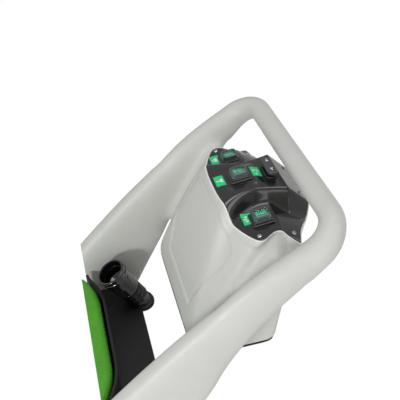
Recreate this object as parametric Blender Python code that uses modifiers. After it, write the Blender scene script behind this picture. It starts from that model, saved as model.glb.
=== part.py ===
"""Handle head of a walk-behind battery floor machine.

A rotomoulded grey body carries the push bar, two arms that deepen into side plates,
and the console housing between them.  A glossy black switch panel closes the console,
a deck joins the side plates at the base and carries the hose and the tank cover.

Everything is placed from the bar datum: the centre of the push bar.
+X is the operator's right, +Y points away from the operator, +Z is up.
"""
import math

import bmesh
import bpy
import numpy as np
from mathutils import Matrix, Vector

MM = 0.001

# ---- driving dimensions -------------------------------------------------------------
BAR_HEIGHT = 430 * MM        # bar centre above the base face
BAR_SETBACK = 312 * MM       # bar centre behind the middle of the base face
BAR_DIAMETER = 38 * MM
ARM_SPACING = 392 * MM       # between the arms' centre lines
CORNER_RADIUS = 50 * MM      # of the bar's centre line where it turns into an arm
ARM_SLOPE = math.radians(38.5)
WALL = 4 * MM                # rotomoulded wall
FRONT_END = 368 * MM         # front end of the side plates, ahead of the bar
GAP = 0.3 * MM               # between pieces that rest on each other

# Arm sections: distance down the arm, reach above and below its line, half width, squareness.
ARM_STATIONS = (
    (50 * MM, 22.5 * MM, 30.0 * MM, 23.0 * MM, 2.0),
    (100 * MM, 27.5 * MM, 41.0 * MM, 23.5 * MM, 2.1),
    (140 * MM, 29.5 * MM, 48.0 * MM, 23.0 * MM, 2.2),
    (180 * MM, 28.0 * MM, 57.0 * MM, 22.5 * MM, 2.3),
    (250 * MM, 21.0 * MM, 79.0 * MM, 21.5 * MM, 2.7),
    (320 * MM, 14.5 * MM, 110.0 * MM, 21.5 * MM, 3.4),
    (400 * MM, 3.5 * MM, 147.0 * MM, 21.5 * MM, 4.2),
    (480 * MM, -9.0 * MM, 186.0 * MM, 21.5 * MM, 4.6),
    (640 * MM, -36.0 * MM, 262.0 * MM, 21.5 * MM, 4.6),
)

# Switch panel outline, right half in plan, from the front middle to the back middle.
PANEL_OUTLINE = (
    (0, 136), (30, 135.2), (57, 131.5), (79, 124), (98, 116.5), (115, 107.5), (125, 100),
    (128.5, 93), (126.5, 86), (120.5, 77.5), (114.5, 67), (113.5, 57), (118, 48.5), (126, 39),
    (131, 30), (121, 24.5), (104, 18), (88, 8), (71, -5), (50, -18), (25, -23), (0, -24),
)
PANEL_HUB_Y = 68 * MM        # the panel's rings shrink towards this point
PANEL_THICKNESS = 3 * MM
PANEL_LIP = 15 * MM          # width of the body's ledge under the panel's edge
BODY_RIM = 2.5 * MM          # body edge that shows around the panel
FLOOR_LEVEL = -52 * MM       # side lobes, at the side switches
FLOOR_SLOPE = 0.158          # rise towards the operator
HUMP_LEVEL = -26.5 * MM      # crown of the middle ridge
WING_START = 85 * MM         # behind this the lobes' outer edges droop
WING_DROP = 10 * MM
WING_LENGTH = 40 * MM        # over which the droop comes in
WING_ROOT, WING_WIDTH = 75 * MM, 45 * MM
FALL_Y = 56 * MM             # behind this the lobes fall away
NOSE_DROP = 7.5 * MM         # fall of the crown from the front switch to the front edge
PANEL_FRONT_Y = 136 * MM
RIDGE_Y = 22 * MM            # back edge of the crown
SKIRT_SLOPE = 0.95           # fall of the back skirt behind it
WAIST_Y = 72 * MM            # where the hump is narrowest
HUMP_WAIST = 37 * MM         # its half width there
HUMP_FRONT = 52 * MM         # and at the front edge
HUMP_BACK = 47 * MM          # and at the back edge
HUMP_WALL, HUMP_WALL_FRONT, HUMP_WALL_BACK = 11 * MM, 32 * MM, 8 * MM  # its width, and what the ends add

# Console housing below the panel.
CONSOLE_FRONT_TOE = 212 * MM  # front lower edge, ahead of the bar
CONSOLE_BACK_TOE = 52 * MM
CONSOLE_HALF_WIDTH = 150 * MM
CONSOLE_BOTTOM = -288 * MM
CONSOLE_SQUARENESS = 10.0

# Webs between console and arms, side view: (ahead of, above) the bar's centre, beside each.
WEB_INNER = (
    (49, -84), (51, -68), (60, -60), (74, -60), (85, -67), (102, -94), (127, -138), (151, -188),
    (176, -246), (160, -250), (134, -200), (104, -152), (78, -114), (58, -98),
)
WEB_OUTER = (
    (66, -98), (68, -86), (75, -79), (84, -79), (94, -87), (107, -105), (129, -143), (152, -190),
    (176, -246), (160, -250), (134, -202), (108, -158), (86, -126), (72, -112),
)
WEB_START = 108 * MM
WEB_SINK = 12 * MM           # how far short of the arm's centre line the webs end
WEB_END = ARM_SPACING / 2 - WEB_SINK

# Panel screws, right half in plan.
PANEL_SCREWS = ((119 * MM, 95 * MM), (113 * MM, 34 * MM), (36 * MM, -7 * MM))
SCREW_RADIUS = 1.8 * MM
SCREW_LENGTH = 12 * MM
HEAD_RADIUS = 3.9 * MM
HEAD_HEIGHT = 2.2 * MM
INSERT_RADIUS = 3.2 * MM
INSERT_LENGTH = 9 * MM
BOSS_RADIUS = 6.2 * MM
BOSS_DEPTH = 16 * MM
BOSS_TOP = -4.4 * MM          # below the panel's surface, inside the ledge

# Lit rocker switches under clear caps.
FLANGE = (32 * MM, 38 * MM, 2.6 * MM)
STEP_IN, STEP_HEIGHT = 2.6 * MM, 3.4 * MM
BARREL = (24 * MM, 30 * MM, 24 * MM)
ROCKER = (13 * MM, 21 * MM, 9 * MM)
ROCKER_RISE = 4.6 * MM       # middle of the rocker's face above the flange step
ROCKER_TILT = math.radians(7)
ROCKER_GAP = 0.7 * MM
CAP_WALL = 1.1 * MM
CAP_HEIGHT = 9.5 * MM
CAP_IN = 1.6 * MM
TERMINAL = (0.8 * MM, 6.3 * MM, 8 * MM)
FRONT_SWITCH_Y = 90 * MM
SIDE_SWITCH = (84 * MM, 79 * MM)
SEAT_MARGIN = 7 * MM         # flat panel around a lit switch
SEAT_BLEND = 6 * MM

# Spring-centred direction switch at the back of the ridge.
REAR_SWITCH_Y = 38 * MM
REAR_FLANGE = (44 * MM, 21 * MM, 3.2 * MM)
REAR_BARREL = (28 * MM, 17 * MM, 26 * MM)
PADDLE = (43 * MM, 14.5 * MM, 6.5 * MM)
PADDLE_RISE = 5.2 * MM       # underside of the paddle above the flange

# Console service cover, relay board and the wires to the switches.
BOARD = (110 * MM, 70 * MM, 1.6 * MM)
BOARD_MIDDLE_Y = 122 * MM
POST_HEIGHT = 9 * MM
POST_RADIUS = 3.5 * MM
RELAY = (16 * MM, 20 * MM, 15 * MM)
RELAY_PITCH, RELAY_BACK = 25 * MM, 26 * MM
CONNECTOR = (84 * MM, 9 * MM, 11 * MM)
CONNECTOR_AHEAD = 20 * MM
FRONT_WIRE_X, REAR_WIRE_X = 10 * MM, -12 * MM
WIRE_RADIUS = 2.6 * MM
COVER_THICKNESS = 3 * MM
COVER_INSET = 2 * MM
COVER_SCREWS = ((134 * MM, 199 * MM), (134 * MM, 65 * MM))
COVER_BOSS_HEIGHT = 26 * MM
COVER_BOSS_RADIUS = 7 * MM

# Deck between the side plates, tank cover and hose.
DECK_THICKNESS = 5 * MM
DECK_BACK = 262 * MM         # back edge of the deck, ahead of the bar
UPSTAND_HEIGHT = 76 * MM
UPSTAND_THICKNESS = 5 * MM
TANK_BACK = 349 * MM         # back wall of the tank cover at the middle
TANK_SWEEP = 22 * MM         # how far its corners sweep forward
TANK_SWEEP_START = 72 * MM
TANK_HALF_WIDTH = 148 * MM
TANK_FRONT = 378 * MM
TANK_TOP = 80 * MM           # above the base face
TANK_EDGE = 13 * MM
HOSE_FROM_ARM = 76 * MM      # mouth to the arm's centre line
HOSE_FROM_FRONT = 50 * MM    # mouth behind the front end
HOSE_HEIGHT = 113 * MM       # mouth above the base face
HOSE_MOUTH = (ARM_SPACING / 2 - HOSE_FROM_ARM, FRONT_END - HOSE_FROM_FRONT, HOSE_HEIGHT - BAR_HEIGHT)
HOSE_LEAN = math.radians(61)
HOSE_OUTER = 25 * MM
HOSE_VALLEY = 22.5 * MM
HOSE_BORE = 20 * MM
HOSE_RIBS = 14
CUFF_OUTER = 31 * MM
CUFF_BODY = 28 * MM
CUFF_LENGTH = 64 * MM
CUFF_BORE = 26 * MM
SPIGOT_RADIUS = 19.7 * MM
SPIGOT_WALL = 2.5 * MM
SPIGOT_INSERTION = 26 * MM   # up inside the hose
SPIGOT_FLANGE = (25.5 * MM, 4 * MM)


def srgb(code):
    """Linear colour with alpha from a six-digit sRGB hex code."""
    levels = [int(code[i:i + 2], 16) / 255 for i in (0, 2, 4)]
    return [c / 12.92 if c <= 0.04045 else ((c + 0.055) / 1.055) ** 2.4 for c in levels] + [1.0]


def start_scene():
    """Empty scene with one collection for the parts and one for the cutters."""
    for old in list(bpy.data.objects):
        bpy.data.objects.remove(old, do_unlink=True)
    homes = []
    for name in ("handle_head", "handle_head_cutters"):
        home = bpy.data.collections.new(name)
        bpy.context.scene.collection.children.link(home)
        homes.append(home)
    datum = bpy.data.objects.new("bar_datum", None)
    datum.location = (0, -BAR_SETBACK, BAR_HEIGHT)
    homes[0].objects.link(datum)
    return homes[0], homes[1], datum


PARTS, CUTTERS, DATUM = start_scene()
PAINTS = {}


def paint(name, code, roughness, metallic=0.0, transmission=0.0):
    """One Principled material."""
    material = bpy.data.materials.new(name)
    material.use_nodes = True
    shader = material.node_tree.nodes["Principled BSDF"]
    shader.inputs["Base Color"].default_value = srgb(code)
    shader.inputs["Roughness"].default_value = roughness
    shader.inputs["Metallic"].default_value = metallic
    shader.inputs["Transmission Weight"].default_value = transmission
    material.diffuse_color = srgb(code)
    PAINTS[name] = material


paint("grey_polyethylene", "CFD0CB", 0.5)
paint("black_gloss_abs", "0C0C0E", 0.15)
paint("black_nylon", "161618", 0.4)
paint("rocker_green", "11A583", 0.25)
paint("clear_cap", "B9C6C6", 0.1, 0.0, 0.8)
paint("black_rubber", "101012", 0.6)
paint("green_polyethylene", "6FC42E", 0.35)
paint("zinc_steel", "B9BBBD", 0.3, 1.0)
paint("brass", "C6A255", 0.3, 1.0)
paint("circuit_green", "0F4F2D", 0.5)


def place(obj, home, material=None, parent=None):
    """Puts an object in its collection, under the bar datum unless told otherwise."""
    home.objects.link(obj)
    obj.parent = parent or DATUM
    if material:
        obj.data.materials.append(PAINTS[material])
    if home == CUTTERS:
        obj.hide_render = True
        obj.display_type = "WIRE"
    return obj


def mesh_object(name, vertices, faces, home, material=None):
    """New object from computed vertices and faces, normals made consistent."""
    mesh = bpy.data.meshes.new(name)
    mesh.from_pydata([tuple(v) for v in vertices], [], faces)
    tidy = bmesh.new()
    tidy.from_mesh(mesh)
    bmesh.ops.remove_doubles(tidy, verts=tidy.verts, dist=0.01 * MM)
    bmesh.ops.recalc_face_normals(tidy, faces=tidy.faces)
    tidy.to_mesh(mesh)
    tidy.free()
    return place(bpy.data.objects.new(name, mesh), home, material)


def smooth(obj, degrees=30):
    """Smooth shading with sharp edges past an angle."""
    obj.data.shade_smooth()
    obj.data.set_sharp_from_angle(angle=math.radians(degrees))
    return obj


def cut(obj, cutter, operation="DIFFERENCE"):
    """Boolean modifier with the exact solver."""
    step = obj.modifiers.new(f"{operation.lower()} {cutter.name}", "BOOLEAN")
    step.operation = operation
    step.solver = "EXACT"
    step.object = cutter


def mirror_x(obj):
    """Mirror across the middle plane."""
    step = obj.modifiers.new("mirror", "MIRROR")
    step.use_axis = (True, False, False)
    step.use_clip = True
    step.merge_threshold = 0.05 * MM


def thicken(obj, thickness, offset):
    """Solidify to one side of the surface."""
    step = obj.modifiers.new("wall", "SOLIDIFY")
    step.thickness = thickness
    step.offset = offset
    step.use_even_offset = True


def bevel(obj, width, segments=2, degrees=40):
    """Rounded edges."""
    step = obj.modifiers.new("edges", "BEVEL")
    step.width = width
    step.segments = segments
    step.limit_method = "ANGLE"
    step.angle_limit = math.radians(degrees)


def box(name, low, high, home, material=None, edge=0.0):
    """Box between two corners, from Blender's cube."""
    bpy.ops.mesh.primitive_cube_add(size=1)
    obj = bpy.context.object
    obj.name = name
    for old in list(obj.users_collection):
        old.objects.unlink(obj)
    size = Vector(high) - Vector(low)
    obj.data.transform(Matrix.Diagonal((*size, 1)))
    obj.location = (Vector(low) + Vector(high)) / 2
    place(obj, home, material)
    if edge:
        bevel(obj, edge)
    return obj


def cylinder(name, radius, low, high, home, material=None, sides=24, turn=None, at=(0, 0, 0)):
    """Cylinder along its own Z from low to high, optionally turned, then moved."""
    bpy.ops.mesh.primitive_cylinder_add(vertices=sides, radius=radius, depth=high - low)
    obj = bpy.context.object
    obj.name = name
    for old in list(obj.users_collection):
        old.objects.unlink(obj)
    obj.data.transform(Matrix.Translation((0, 0, (low + high) / 2)))
    obj.matrix_basis = Matrix.Translation(at) @ (turn or Matrix.Identity(4))
    return place(obj, home, material)


def turned(name, profile, home, material=None, sides=24, frame=None):
    """Screw of a closed radius-height profile, top to bottom on its outer side."""
    mesh = bpy.data.meshes.new(name)
    points = [(r, 0, z) for r, z in profile]
    edges = [(i, i + 1) for i in range(len(points) - 1)]
    if profile[0][0] > 0:
        edges.append((len(points) - 1, 0))
    mesh.from_pydata(points, edges, [])
    obj = place(bpy.data.objects.new(name, mesh), home, material)
    if frame:
        obj.matrix_basis = frame
    step = obj.modifiers.new("turn", "SCREW")
    step.steps = sides
    step.render_steps = sides
    step.use_merge_vertices = True
    step.merge_threshold = 0.01 * MM
    step.use_smooth_shade = True
    return obj


def grid_faces(rows, columns, closed):
    """Quads of a row-major grid, closed around each row if asked."""
    last = columns if closed else columns - 1
    return [
        (i * columns + j, i * columns + (j + 1) % columns,
         (i + 1) * columns + (j + 1) % columns, (i + 1) * columns + j)
        for i in range(rows - 1) for j in range(last)
    ]


def split_faces(faces):
    """Quads split along the same diagonal, so that two matching grids get matching facets."""
    return [half for a, b, c, d in faces for half in ((a, b, c), (a, c, d))]


def spline(points, steps):
    """Catmull-Rom curve through points, with the given steps in each span."""
    pts = np.array(points, float)
    padded = np.vstack([2 * pts[0] - pts[1], pts, 2 * pts[-1] - pts[-2]])
    curve = []
    for i in range(len(pts) - 1):
        a, b, c, d = padded[i:i + 4]
        for t in np.linspace(0, 1, steps, endpoint=False):
            curve.append(0.5 * (2 * b + (c - a) * t + (2 * a - 5 * b + 4 * c - d) * t ** 2
                                + (3 * b - 3 * c + d - a) * t ** 3))
    return np.vstack([curve, pts[-1]])


# ---- push bar, arms and side plates -----------------------------------------------------
ARM_DIRECTION = np.array([0, math.cos(ARM_SLOPE), -math.sin(ARM_SLOPE)])
ARM_NORMAL = np.array([0, math.sin(ARM_SLOPE), math.cos(ARM_SLOPE)])
ACROSS = np.array([1.0, 0, 0])


def loop_stations(inset):
    """Half loop: centre, sideways unit vector, reach up, reach down, half width, squareness."""
    bar = BAR_DIAMETER / 2 - inset
    turn_x = ARM_SPACING / 2 - CORNER_RADIUS
    stations = []
    for x in np.linspace(0, turn_x, 4)[:-1]:
        stations.append((ACROSS * x, -ARM_DIRECTION, bar, bar, bar, 2.0))
    up, down, half = ARM_STATIONS[0][1:4]
    for a in np.linspace(0, math.pi / 2, 9):
        sideways = math.sin(a) * ACROSS - math.cos(a) * ARM_DIRECTION
        centre = ACROSS * turn_x + ARM_DIRECTION * CORNER_RADIUS + CORNER_RADIUS * sideways
        grow = (a / (math.pi / 2)) ** 0.9
        reaches = [bar + (size - inset - bar) * grow for size in (up, down, half)]
        stations.append((centre, sideways, *reaches, 2.0))
    for row in spline(ARM_STATIONS, 2)[1:]:
        along, up, down, half, square = row
        centre = ACROSS * ARM_SPACING / 2 + ARM_DIRECTION * along
        stations.append((centre, ACROSS, up - inset, down - inset, half - inset, square))
    return stations


def loop_half(name, inset, home, material=None, sides=24):
    """Loft through the stations, open in the middle plane, capped below the base, mirrored."""
    angles = np.linspace(0, 2 * math.pi, sides, endpoint=False)
    rows = []
    for centre, sideways, up, down, half, square in loop_stations(inset):
        middle, reach = (up - down) / 2, (up + down) / 2
        c = np.sign(np.cos(angles)) * np.abs(np.cos(angles)) ** (2 / square)
        s = np.sign(np.sin(angles)) * np.abs(np.sin(angles)) ** (2 / square)
        rows.append(centre + np.outer(c * half, sideways) + np.outer(middle + s * reach, ARM_NORMAL))
    faces = grid_faces(len(rows), sides, True)
    start = (len(rows) - 1) * sides
    faces.append(tuple(range(start, start + sides)))
    obj = mesh_object(name, np.vstack(rows), faces, home, material)
    mirror_x(obj)
    return obj


# ---- switch panel surface ------------------------------------------------------------------
def ease(t):
    """Smooth step from 0 to 1."""
    t = np.clip(t, 0, 1)
    return t * t * (3 - 2 * t)


def hump_reach(y):
    """Half width of the ridge at its crown, and the width of the wall outside it."""
    front = np.clip((y - WAIST_Y) / (PANEL_FRONT_Y - WAIST_Y), 0, 1)
    back = np.clip((WAIST_Y - y) / (WAIST_Y - RIDGE_Y), 0, 1)
    half = HUMP_WAIST + (HUMP_FRONT - HUMP_WAIST) * front ** 1.6 + (HUMP_BACK - HUMP_WAIST) * back ** 1.5
    return half, HUMP_WALL + HUMP_WALL_FRONT * front ** 2 + HUMP_WALL_BACK * back ** 2


def panel_height(x, y):
    """Top surface of the panel: two low lobes, a raised middle ridge and a back skirt."""
    x = np.abs(x)
    fall = np.maximum(0, FALL_Y - y)
    floor = FLOOR_LEVEL + FLOOR_SLOPE * (SIDE_SWITCH[1] - np.maximum(y, FALL_Y)) - 0.58 * fall
    aft = ease((WING_START - y) / WING_LENGTH)
    floor = floor - WING_DROP * aft * np.clip((x - WING_ROOT) / WING_WIDTH, 0, 1) ** 2
    ahead = np.maximum(0, y - FRONT_SWITCH_Y)
    crown = HUMP_LEVEL - NOSE_DROP * (ahead / (PANEL_FRONT_Y - FRONT_SWITCH_Y)) ** 2
    crown = crown - SKIRT_SLOPE * np.maximum(0, RIDGE_Y - y)
    half, wall = hump_reach(y)
    height = floor + np.maximum(crown - floor, 0) * ease((half + wall - x) / wall)
    seat = HUMP_LEVEL + FLOOR_SLOPE * (FRONT_SWITCH_Y - y)
    reach = SEAT_MARGIN + SEAT_BLEND
    near = ease((FLANGE[0] / 2 + reach - x) / SEAT_BLEND)
    near = near * ease((FLANGE[1] / 2 + reach - np.abs(y - FRONT_SWITCH_Y)) / SEAT_BLEND)
    return height + (seat - height) * near


def outline(shrink=0.0, steps=1):
    """Right half of the panel's outline in plan, drawn in towards the hub by a length."""
    edge = spline(PANEL_OUTLINE, steps) * MM
    hub = np.array([0, PANEL_HUB_Y])
    spoke = edge - hub
    reach = np.linalg.norm(spoke, axis=1, keepdims=True)
    return hub + spoke * (reach - shrink) / reach


def console_bottom(shrink):
    """Right half of the console's lower outline, point for point with the panel's outline."""
    edge = outline()
    middle = (CONSOLE_FRONT_TOE + CONSOLE_BACK_TOE) / 2
    depth = (CONSOLE_FRONT_TOE - CONSOLE_BACK_TOE) / 2 - shrink
    width = CONSOLE_HALF_WIDTH - shrink
    turn = np.linspace(math.pi / 2, -math.pi / 2, len(edge))
    power = 2 / CONSOLE_SQUARENESS
    x = width * np.abs(np.cos(turn)) ** power
    y = middle + depth * np.sign(np.sin(turn)) * np.abs(np.sin(turn)) ** power
    x[[0, -1]] = 0
    return np.column_stack([x, y])


def surface_row(plan, drop):
    """Points of the panel's surface above a plan line, lowered by a drop."""
    return np.column_stack([plan, panel_height(plan[:, 0], plan[:, 1]) - drop])


def cap_rows(drop, rings):
    """Rings of the lowered panel surface: a third each to the wall, up it and to the ledge."""
    hub = np.array([0, PANEL_HUB_Y])
    inner = outline(PANEL_LIP)
    reach = np.linspace(0, 1, 200)[:, None]
    x = np.abs(inner[None, :, 0] * reach)
    y = PANEL_HUB_Y + (inner[None, :, 1] - PANEL_HUB_Y) * reach
    half, wall = hump_reach(y)
    crown_edge = np.minimum((x < half).mean(axis=0), 0.80)
    wall_foot = np.clip((x < half + wall).mean(axis=0), crown_edge + 0.08, 0.90)
    rows = []
    for k in range(1, rings + 1):
        knots = np.array([0, rings * 0.45, rings * 0.8, rings])
        share = np.array([np.interp(k, knots, [0, a, b, 1]) for a, b in zip(crown_edge, wall_foot)])
        rows.append(surface_row(hub + (inner - hub) * share[:, None], drop))
    return rows + [surface_row(outline(PANEL_LIP * s), drop) for s in (2 / 3, 1 / 3, 0)]


def wall_rows(shrink, drop, levels=7):
    """Console wall from the panel's outline down to the lower outline."""
    top_edge = outline(shrink)
    low_edge = console_bottom(shrink + BODY_RIM)
    rim = panel_height(top_edge[:, 0], top_edge[:, 1]) - drop
    rows = []
    for t in np.linspace(0, 1, levels + 1):
        spread = t + 0.35 * t * (1 - t)
        plan = top_edge + (low_edge - top_edge) * spread
        rows.append(np.column_stack([plan, rim + (CONSOLE_BOTTOM - rim) * t]))
    return rows


def ledge_rows(start, stop, drop):
    """Rows across the ledge, following the panel's surface at a drop."""
    middle = (PANEL_LIP / 3, PANEL_LIP * 2 / 3)
    if start > stop:
        middle = middle[::-1]
    rows = [surface_row(outline(shrink), drop) for shrink in (max(start, 0), *middle, stop)]
    if start < 0:
        edge = rows[0].copy()
        edge[:, :2] = outline(start)
        rows.insert(0, edge)
    return rows


def console_shell(name, home, material=None):
    """Console wall with its rim and the ledge that the panel sits on; right half, mirrored."""
    seat = PANEL_THICKNESS + GAP
    rows = wall_rows(-BODY_RIM, 0.0)[::-1]
    rows.append(surface_row(outline(-GAP), 0.0))
    rows += ledge_rows(-GAP, PANEL_LIP, seat)
    rows += ledge_rows(PANEL_LIP, WALL - BODY_RIM, seat + WALL)[:-1]
    rows += wall_rows(WALL - BODY_RIM, seat + WALL)
    columns = len(rows[0])
    faces = split_faces(grid_faces(len(rows), columns, False))
    last = (len(rows) - 1) * columns
    faces += [(last + j, last + j + 1, j + 1, j) for j in range(columns - 1)]
    obj = mesh_object(name, np.vstack(rows), faces, home, material)
    mirror_x(obj)
    return obj


def console_core(name, home):
    """Everything inside the middle of the console's wall, and the space above the panel."""
    rows = wall_rows(-BODY_RIM / 2, 0.0)
    lid = rows[0].copy()
    lid[:, 2] = 60 * MM
    columns = len(lid)
    rows = [lid] + rows
    faces = grid_faces(len(rows), columns, False)
    faces.append(tuple(range(columns)))
    start = (len(rows) - 1) * columns
    faces.append(tuple(range(start, start + columns)))
    obj = mesh_object(name, np.vstack(rows), faces, home)
    mirror_x(obj)
    return obj


def panel_solid(name, home, material=None, rings=14):
    """The panel's surface and its underside, one thickness lower; right half, mirrored."""
    top = cap_rows(0.0, rings)
    under = cap_rows(PANEL_THICKNESS, rings)[::-1]
    columns = len(top[0])
    hub_level = float(panel_height(0, PANEL_HUB_Y))
    poles = [[0, PANEL_HUB_Y, hub_level], [0, PANEL_HUB_Y, hub_level - PANEL_THICKNESS]]
    vertices = np.vstack(top + under + [poles])
    faces = split_faces(grid_faces(2 * len(top), columns, False))
    first, last = len(vertices) - 2, (2 * len(top) - 1) * columns
    faces += [(i + 1, i, first) for i in range(columns - 1)]
    faces += [(last + i, last + i + 1, first + 1) for i in range(columns - 1)]
    obj = mesh_object(name, vertices, faces, home, material)
    mirror_x(obj)
    return obj


def web_loft(name, home):
    """Both webs as one bar across the machine: outer outline, inner, inner, outer."""
    profiles = [np.array(profile) * MM for profile in (WEB_OUTER, WEB_INNER, WEB_INNER, WEB_OUTER)]
    count = len(WEB_INNER)
    sides = (-WEB_END, -WEB_START, WEB_START, WEB_END)
    rows = [np.column_stack([np.full(count, x), profile]) for x, profile in zip(sides, profiles)]
    faces = grid_faces(len(rows), count, True)
    faces += [tuple(range(count)), tuple(range(3 * count, 4 * count))]
    return mesh_object(name, np.vstack(rows), faces, home)


def surface_frame(x, y):
    """Frame on the panel's surface, Z along its normal and X kept level."""
    step = 1 * MM
    rise = (panel_height(x, y + step) - panel_height(x, y - step)) / (2 * step)
    lean = (panel_height(x + step, y) - panel_height(x - step, y)) / (2 * step)
    normal = Vector((-float(lean), -float(rise), 1)).normalized()
    side = Vector((1, 0, float(lean))).normalized()
    ahead = normal.cross(side)
    turn = Matrix((side, ahead, normal)).transposed().to_4x4()
    return Matrix.Translation((x, y, float(panel_height(x, y)))) @ turn


def both_sides(places):
    """Each right-hand place and its left-hand twin, with a side name."""
    for index, (x, y) in enumerate(places, 1):
        yield f"r{index}", x, y
        yield f"l{index}", -x, y


def rounded_plate(size_x, size_y, radius, segments=4):
    """Counter-clockwise outline of a rectangle with round corners."""
    points = []
    for k, (cx, cy) in enumerate(((1, 1), (-1, 1), (-1, -1), (1, -1))):
        middle = (cx * (size_x / 2 - radius), cy * (size_y / 2 - radius))
        for i in range(segments + 1):
            a = math.pi / 2 * (k + i / segments)
            points.append((middle[0] + radius * math.cos(a), middle[1] + radius * math.sin(a)))
    return points


def stack(name, layers, frame, home, material=None):
    """Solid from outlines of equal length at rising heights: (outline, height) pairs."""
    count = len(layers[0][0])
    vertices = [(x, y, z) for outline_points, z in layers for x, y in outline_points]
    faces = [tuple(range(count))[::-1]]
    faces += grid_faces(len(layers), count, True)
    start = (len(layers) - 1) * count
    faces.append(tuple(range(start, start + count)))
    obj = mesh_object(name, vertices, faces, home, material)
    obj.matrix_basis = frame
    return obj


# ---- grey body ----------------------------------------------------------------------------------
def make_body():
    """Console, webs, bar, arms and side plates as one hollow moulding."""
    body = console_shell("handle_body", PARTS, "grey_polyethylene")
    webs = web_loft("webs", CUTTERS)
    cut(webs, console_core("console_core", CUTTERS))
    cut(body, webs, "UNION")
    cut(body, loop_half("loop_outer", 0.0, CUTTERS, None, 20), "UNION")
    low = -BAR_HEIGHT
    cut(body, box("below_base", (-0.4, 0.1, low - 0.3), (0.4, 0.7, low), CUTTERS))
    cut(body, box("ahead_of_plates", (-0.4, FRONT_END, low - 0.3), (0.4, 0.8, 0.2), CUTTERS))
    hollow = loop_half("arm_hollow", WALL, CUTTERS, None, 14)
    cut(hollow, box("front_wall", (-0.4, FRONT_END - WALL, low - 0.4), (0.4, 0.8, 0.3), CUTTERS))
    cut(body, hollow)
    for side, x, y in both_sides(PANEL_SCREWS):
        frame = surface_frame(x, y)
        boss = cylinder(f"panel_boss_{side}", BOSS_RADIUS, BOSS_TOP - BOSS_DEPTH, BOSS_TOP, CUTTERS, None, 14)
        boss.matrix_basis = frame
        cut(body, boss, "UNION")
        hole = cylinder(f"insert_hole_{side}", INSERT_RADIUS + GAP, BOSS_TOP - INSERT_LENGTH - 3 * MM,
                        0, CUTTERS, None, 12)
        hole.matrix_basis = frame
        cut(body, hole)
    for side, x, y in both_sides(COVER_SCREWS):
        boss = cylinder(f"cover_boss_{side}", COVER_BOSS_RADIUS, GAP, COVER_BOSS_HEIGHT, CUTTERS, None, 14,
                        None, (x, y, CONSOLE_BOTTOM))
        cut(body, boss, "UNION")
        hole = cylinder(f"cover_pilot_{side}", SCREW_RADIUS + GAP, -1 * MM, 14 * MM, CUTTERS, None, 10,
                        None, (x, y, CONSOLE_BOTTOM))
        cut(body, hole)
    return smooth(body)


# ---- switch panel and its screws -----------------------------------------------------------------
def make_panel():
    """Formed panel with openings for the switches and holes for the screws."""
    panel = panel_solid("control_panel", PARTS, "black_gloss_abs")
    for side, x, y in both_sides(PANEL_SCREWS):
        hole = cylinder(f"screw_hole_{side}", SCREW_RADIUS + 2 * GAP, -15 * MM, 15 * MM, CUTTERS, None, 10)
        hole.matrix_basis = surface_frame(x, y)
        cut(panel, hole)
    for name, x, y in lit_switch_places():
        size_x, size_y, depth = (side + 2 * GAP for side in BARREL)
        opening = box(f"opening_{name}", (-size_x / 2, -size_y / 2, -20 * MM),
                      (size_x / 2, size_y / 2, 15 * MM), CUTTERS)
        opening.matrix_basis = seat_frame(x, y) @ opening.matrix_basis
        cut(panel, opening)
    size_x, size_y, depth = (side + 2 * GAP for side in REAR_BARREL)
    opening = box("opening_rear", (-size_x / 2, -size_y / 2, -20 * MM),
                  (size_x / 2, size_y / 2, 15 * MM), CUTTERS)
    opening.matrix_basis = rear_frame() @ opening.matrix_basis
    cut(panel, opening)
    return smooth(panel)


def make_panel_screws():
    """Pan head screws into brass inserts moulded in the body's ledge."""
    for side, x, y in both_sides(PANEL_SCREWS):
        head = [(HEAD_RADIUS * math.cos(a), GAP + HEAD_HEIGHT * math.sin(a))
                for a in (math.radians(75), math.radians(50), math.radians(25), 0)]
        shank = [(SCREW_RADIUS, GAP), (SCREW_RADIUS, -SCREW_LENGTH + 1 * MM), (0, -SCREW_LENGTH)]
        profile = [(0, GAP + HEAD_HEIGHT)] + head + shank
        turned(f"panel_screw_{side}", profile, PARTS, "zinc_steel", 14, surface_frame(x, y))
        top, foot = BOSS_TOP, BOSS_TOP - INSERT_LENGTH
        bore = SCREW_RADIUS + GAP
        ring = [(INSERT_RADIUS, top), (INSERT_RADIUS, foot), (bore, foot), (bore, top)]
        turned(f"brass_insert_{side}", ring, PARTS, "brass", 12, surface_frame(x, y))


# ---- switches ------------------------------------------------------------------------------------
def lit_switch_places():
    """Name and place of each lit switch."""
    yield "front", 0.0, FRONT_SWITCH_Y
    yield "right", SIDE_SWITCH[0], SIDE_SWITCH[1]
    yield "left", -SIDE_SWITCH[0], SIDE_SWITCH[1]


def seat_frame(x, y):
    """Frame on a lit switch's flat seat, leaning with the panel's slope."""
    lean = Matrix.Rotation(-math.atan(FLOOR_SLOPE), 4, "X")
    return Matrix.Translation((x, y, float(panel_height(x, y)))) @ lean


def rear_frame():
    """Frame on the crown of the ridge, under the direction switch."""
    return Matrix.Translation((0, REAR_SWITCH_Y, float(panel_height(0.0, REAR_SWITCH_Y))))


def local_box(name, size, centre, frame, home, material=None, edge=0.0):
    """Box of a size about a centre in a frame."""
    low = [c - s / 2 for c, s in zip(centre, size)]
    high = [c + s / 2 for c, s in zip(centre, size)]
    obj = box(name, low, high, home, material, edge)
    obj.matrix_basis = frame @ obj.matrix_basis
    return obj


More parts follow.
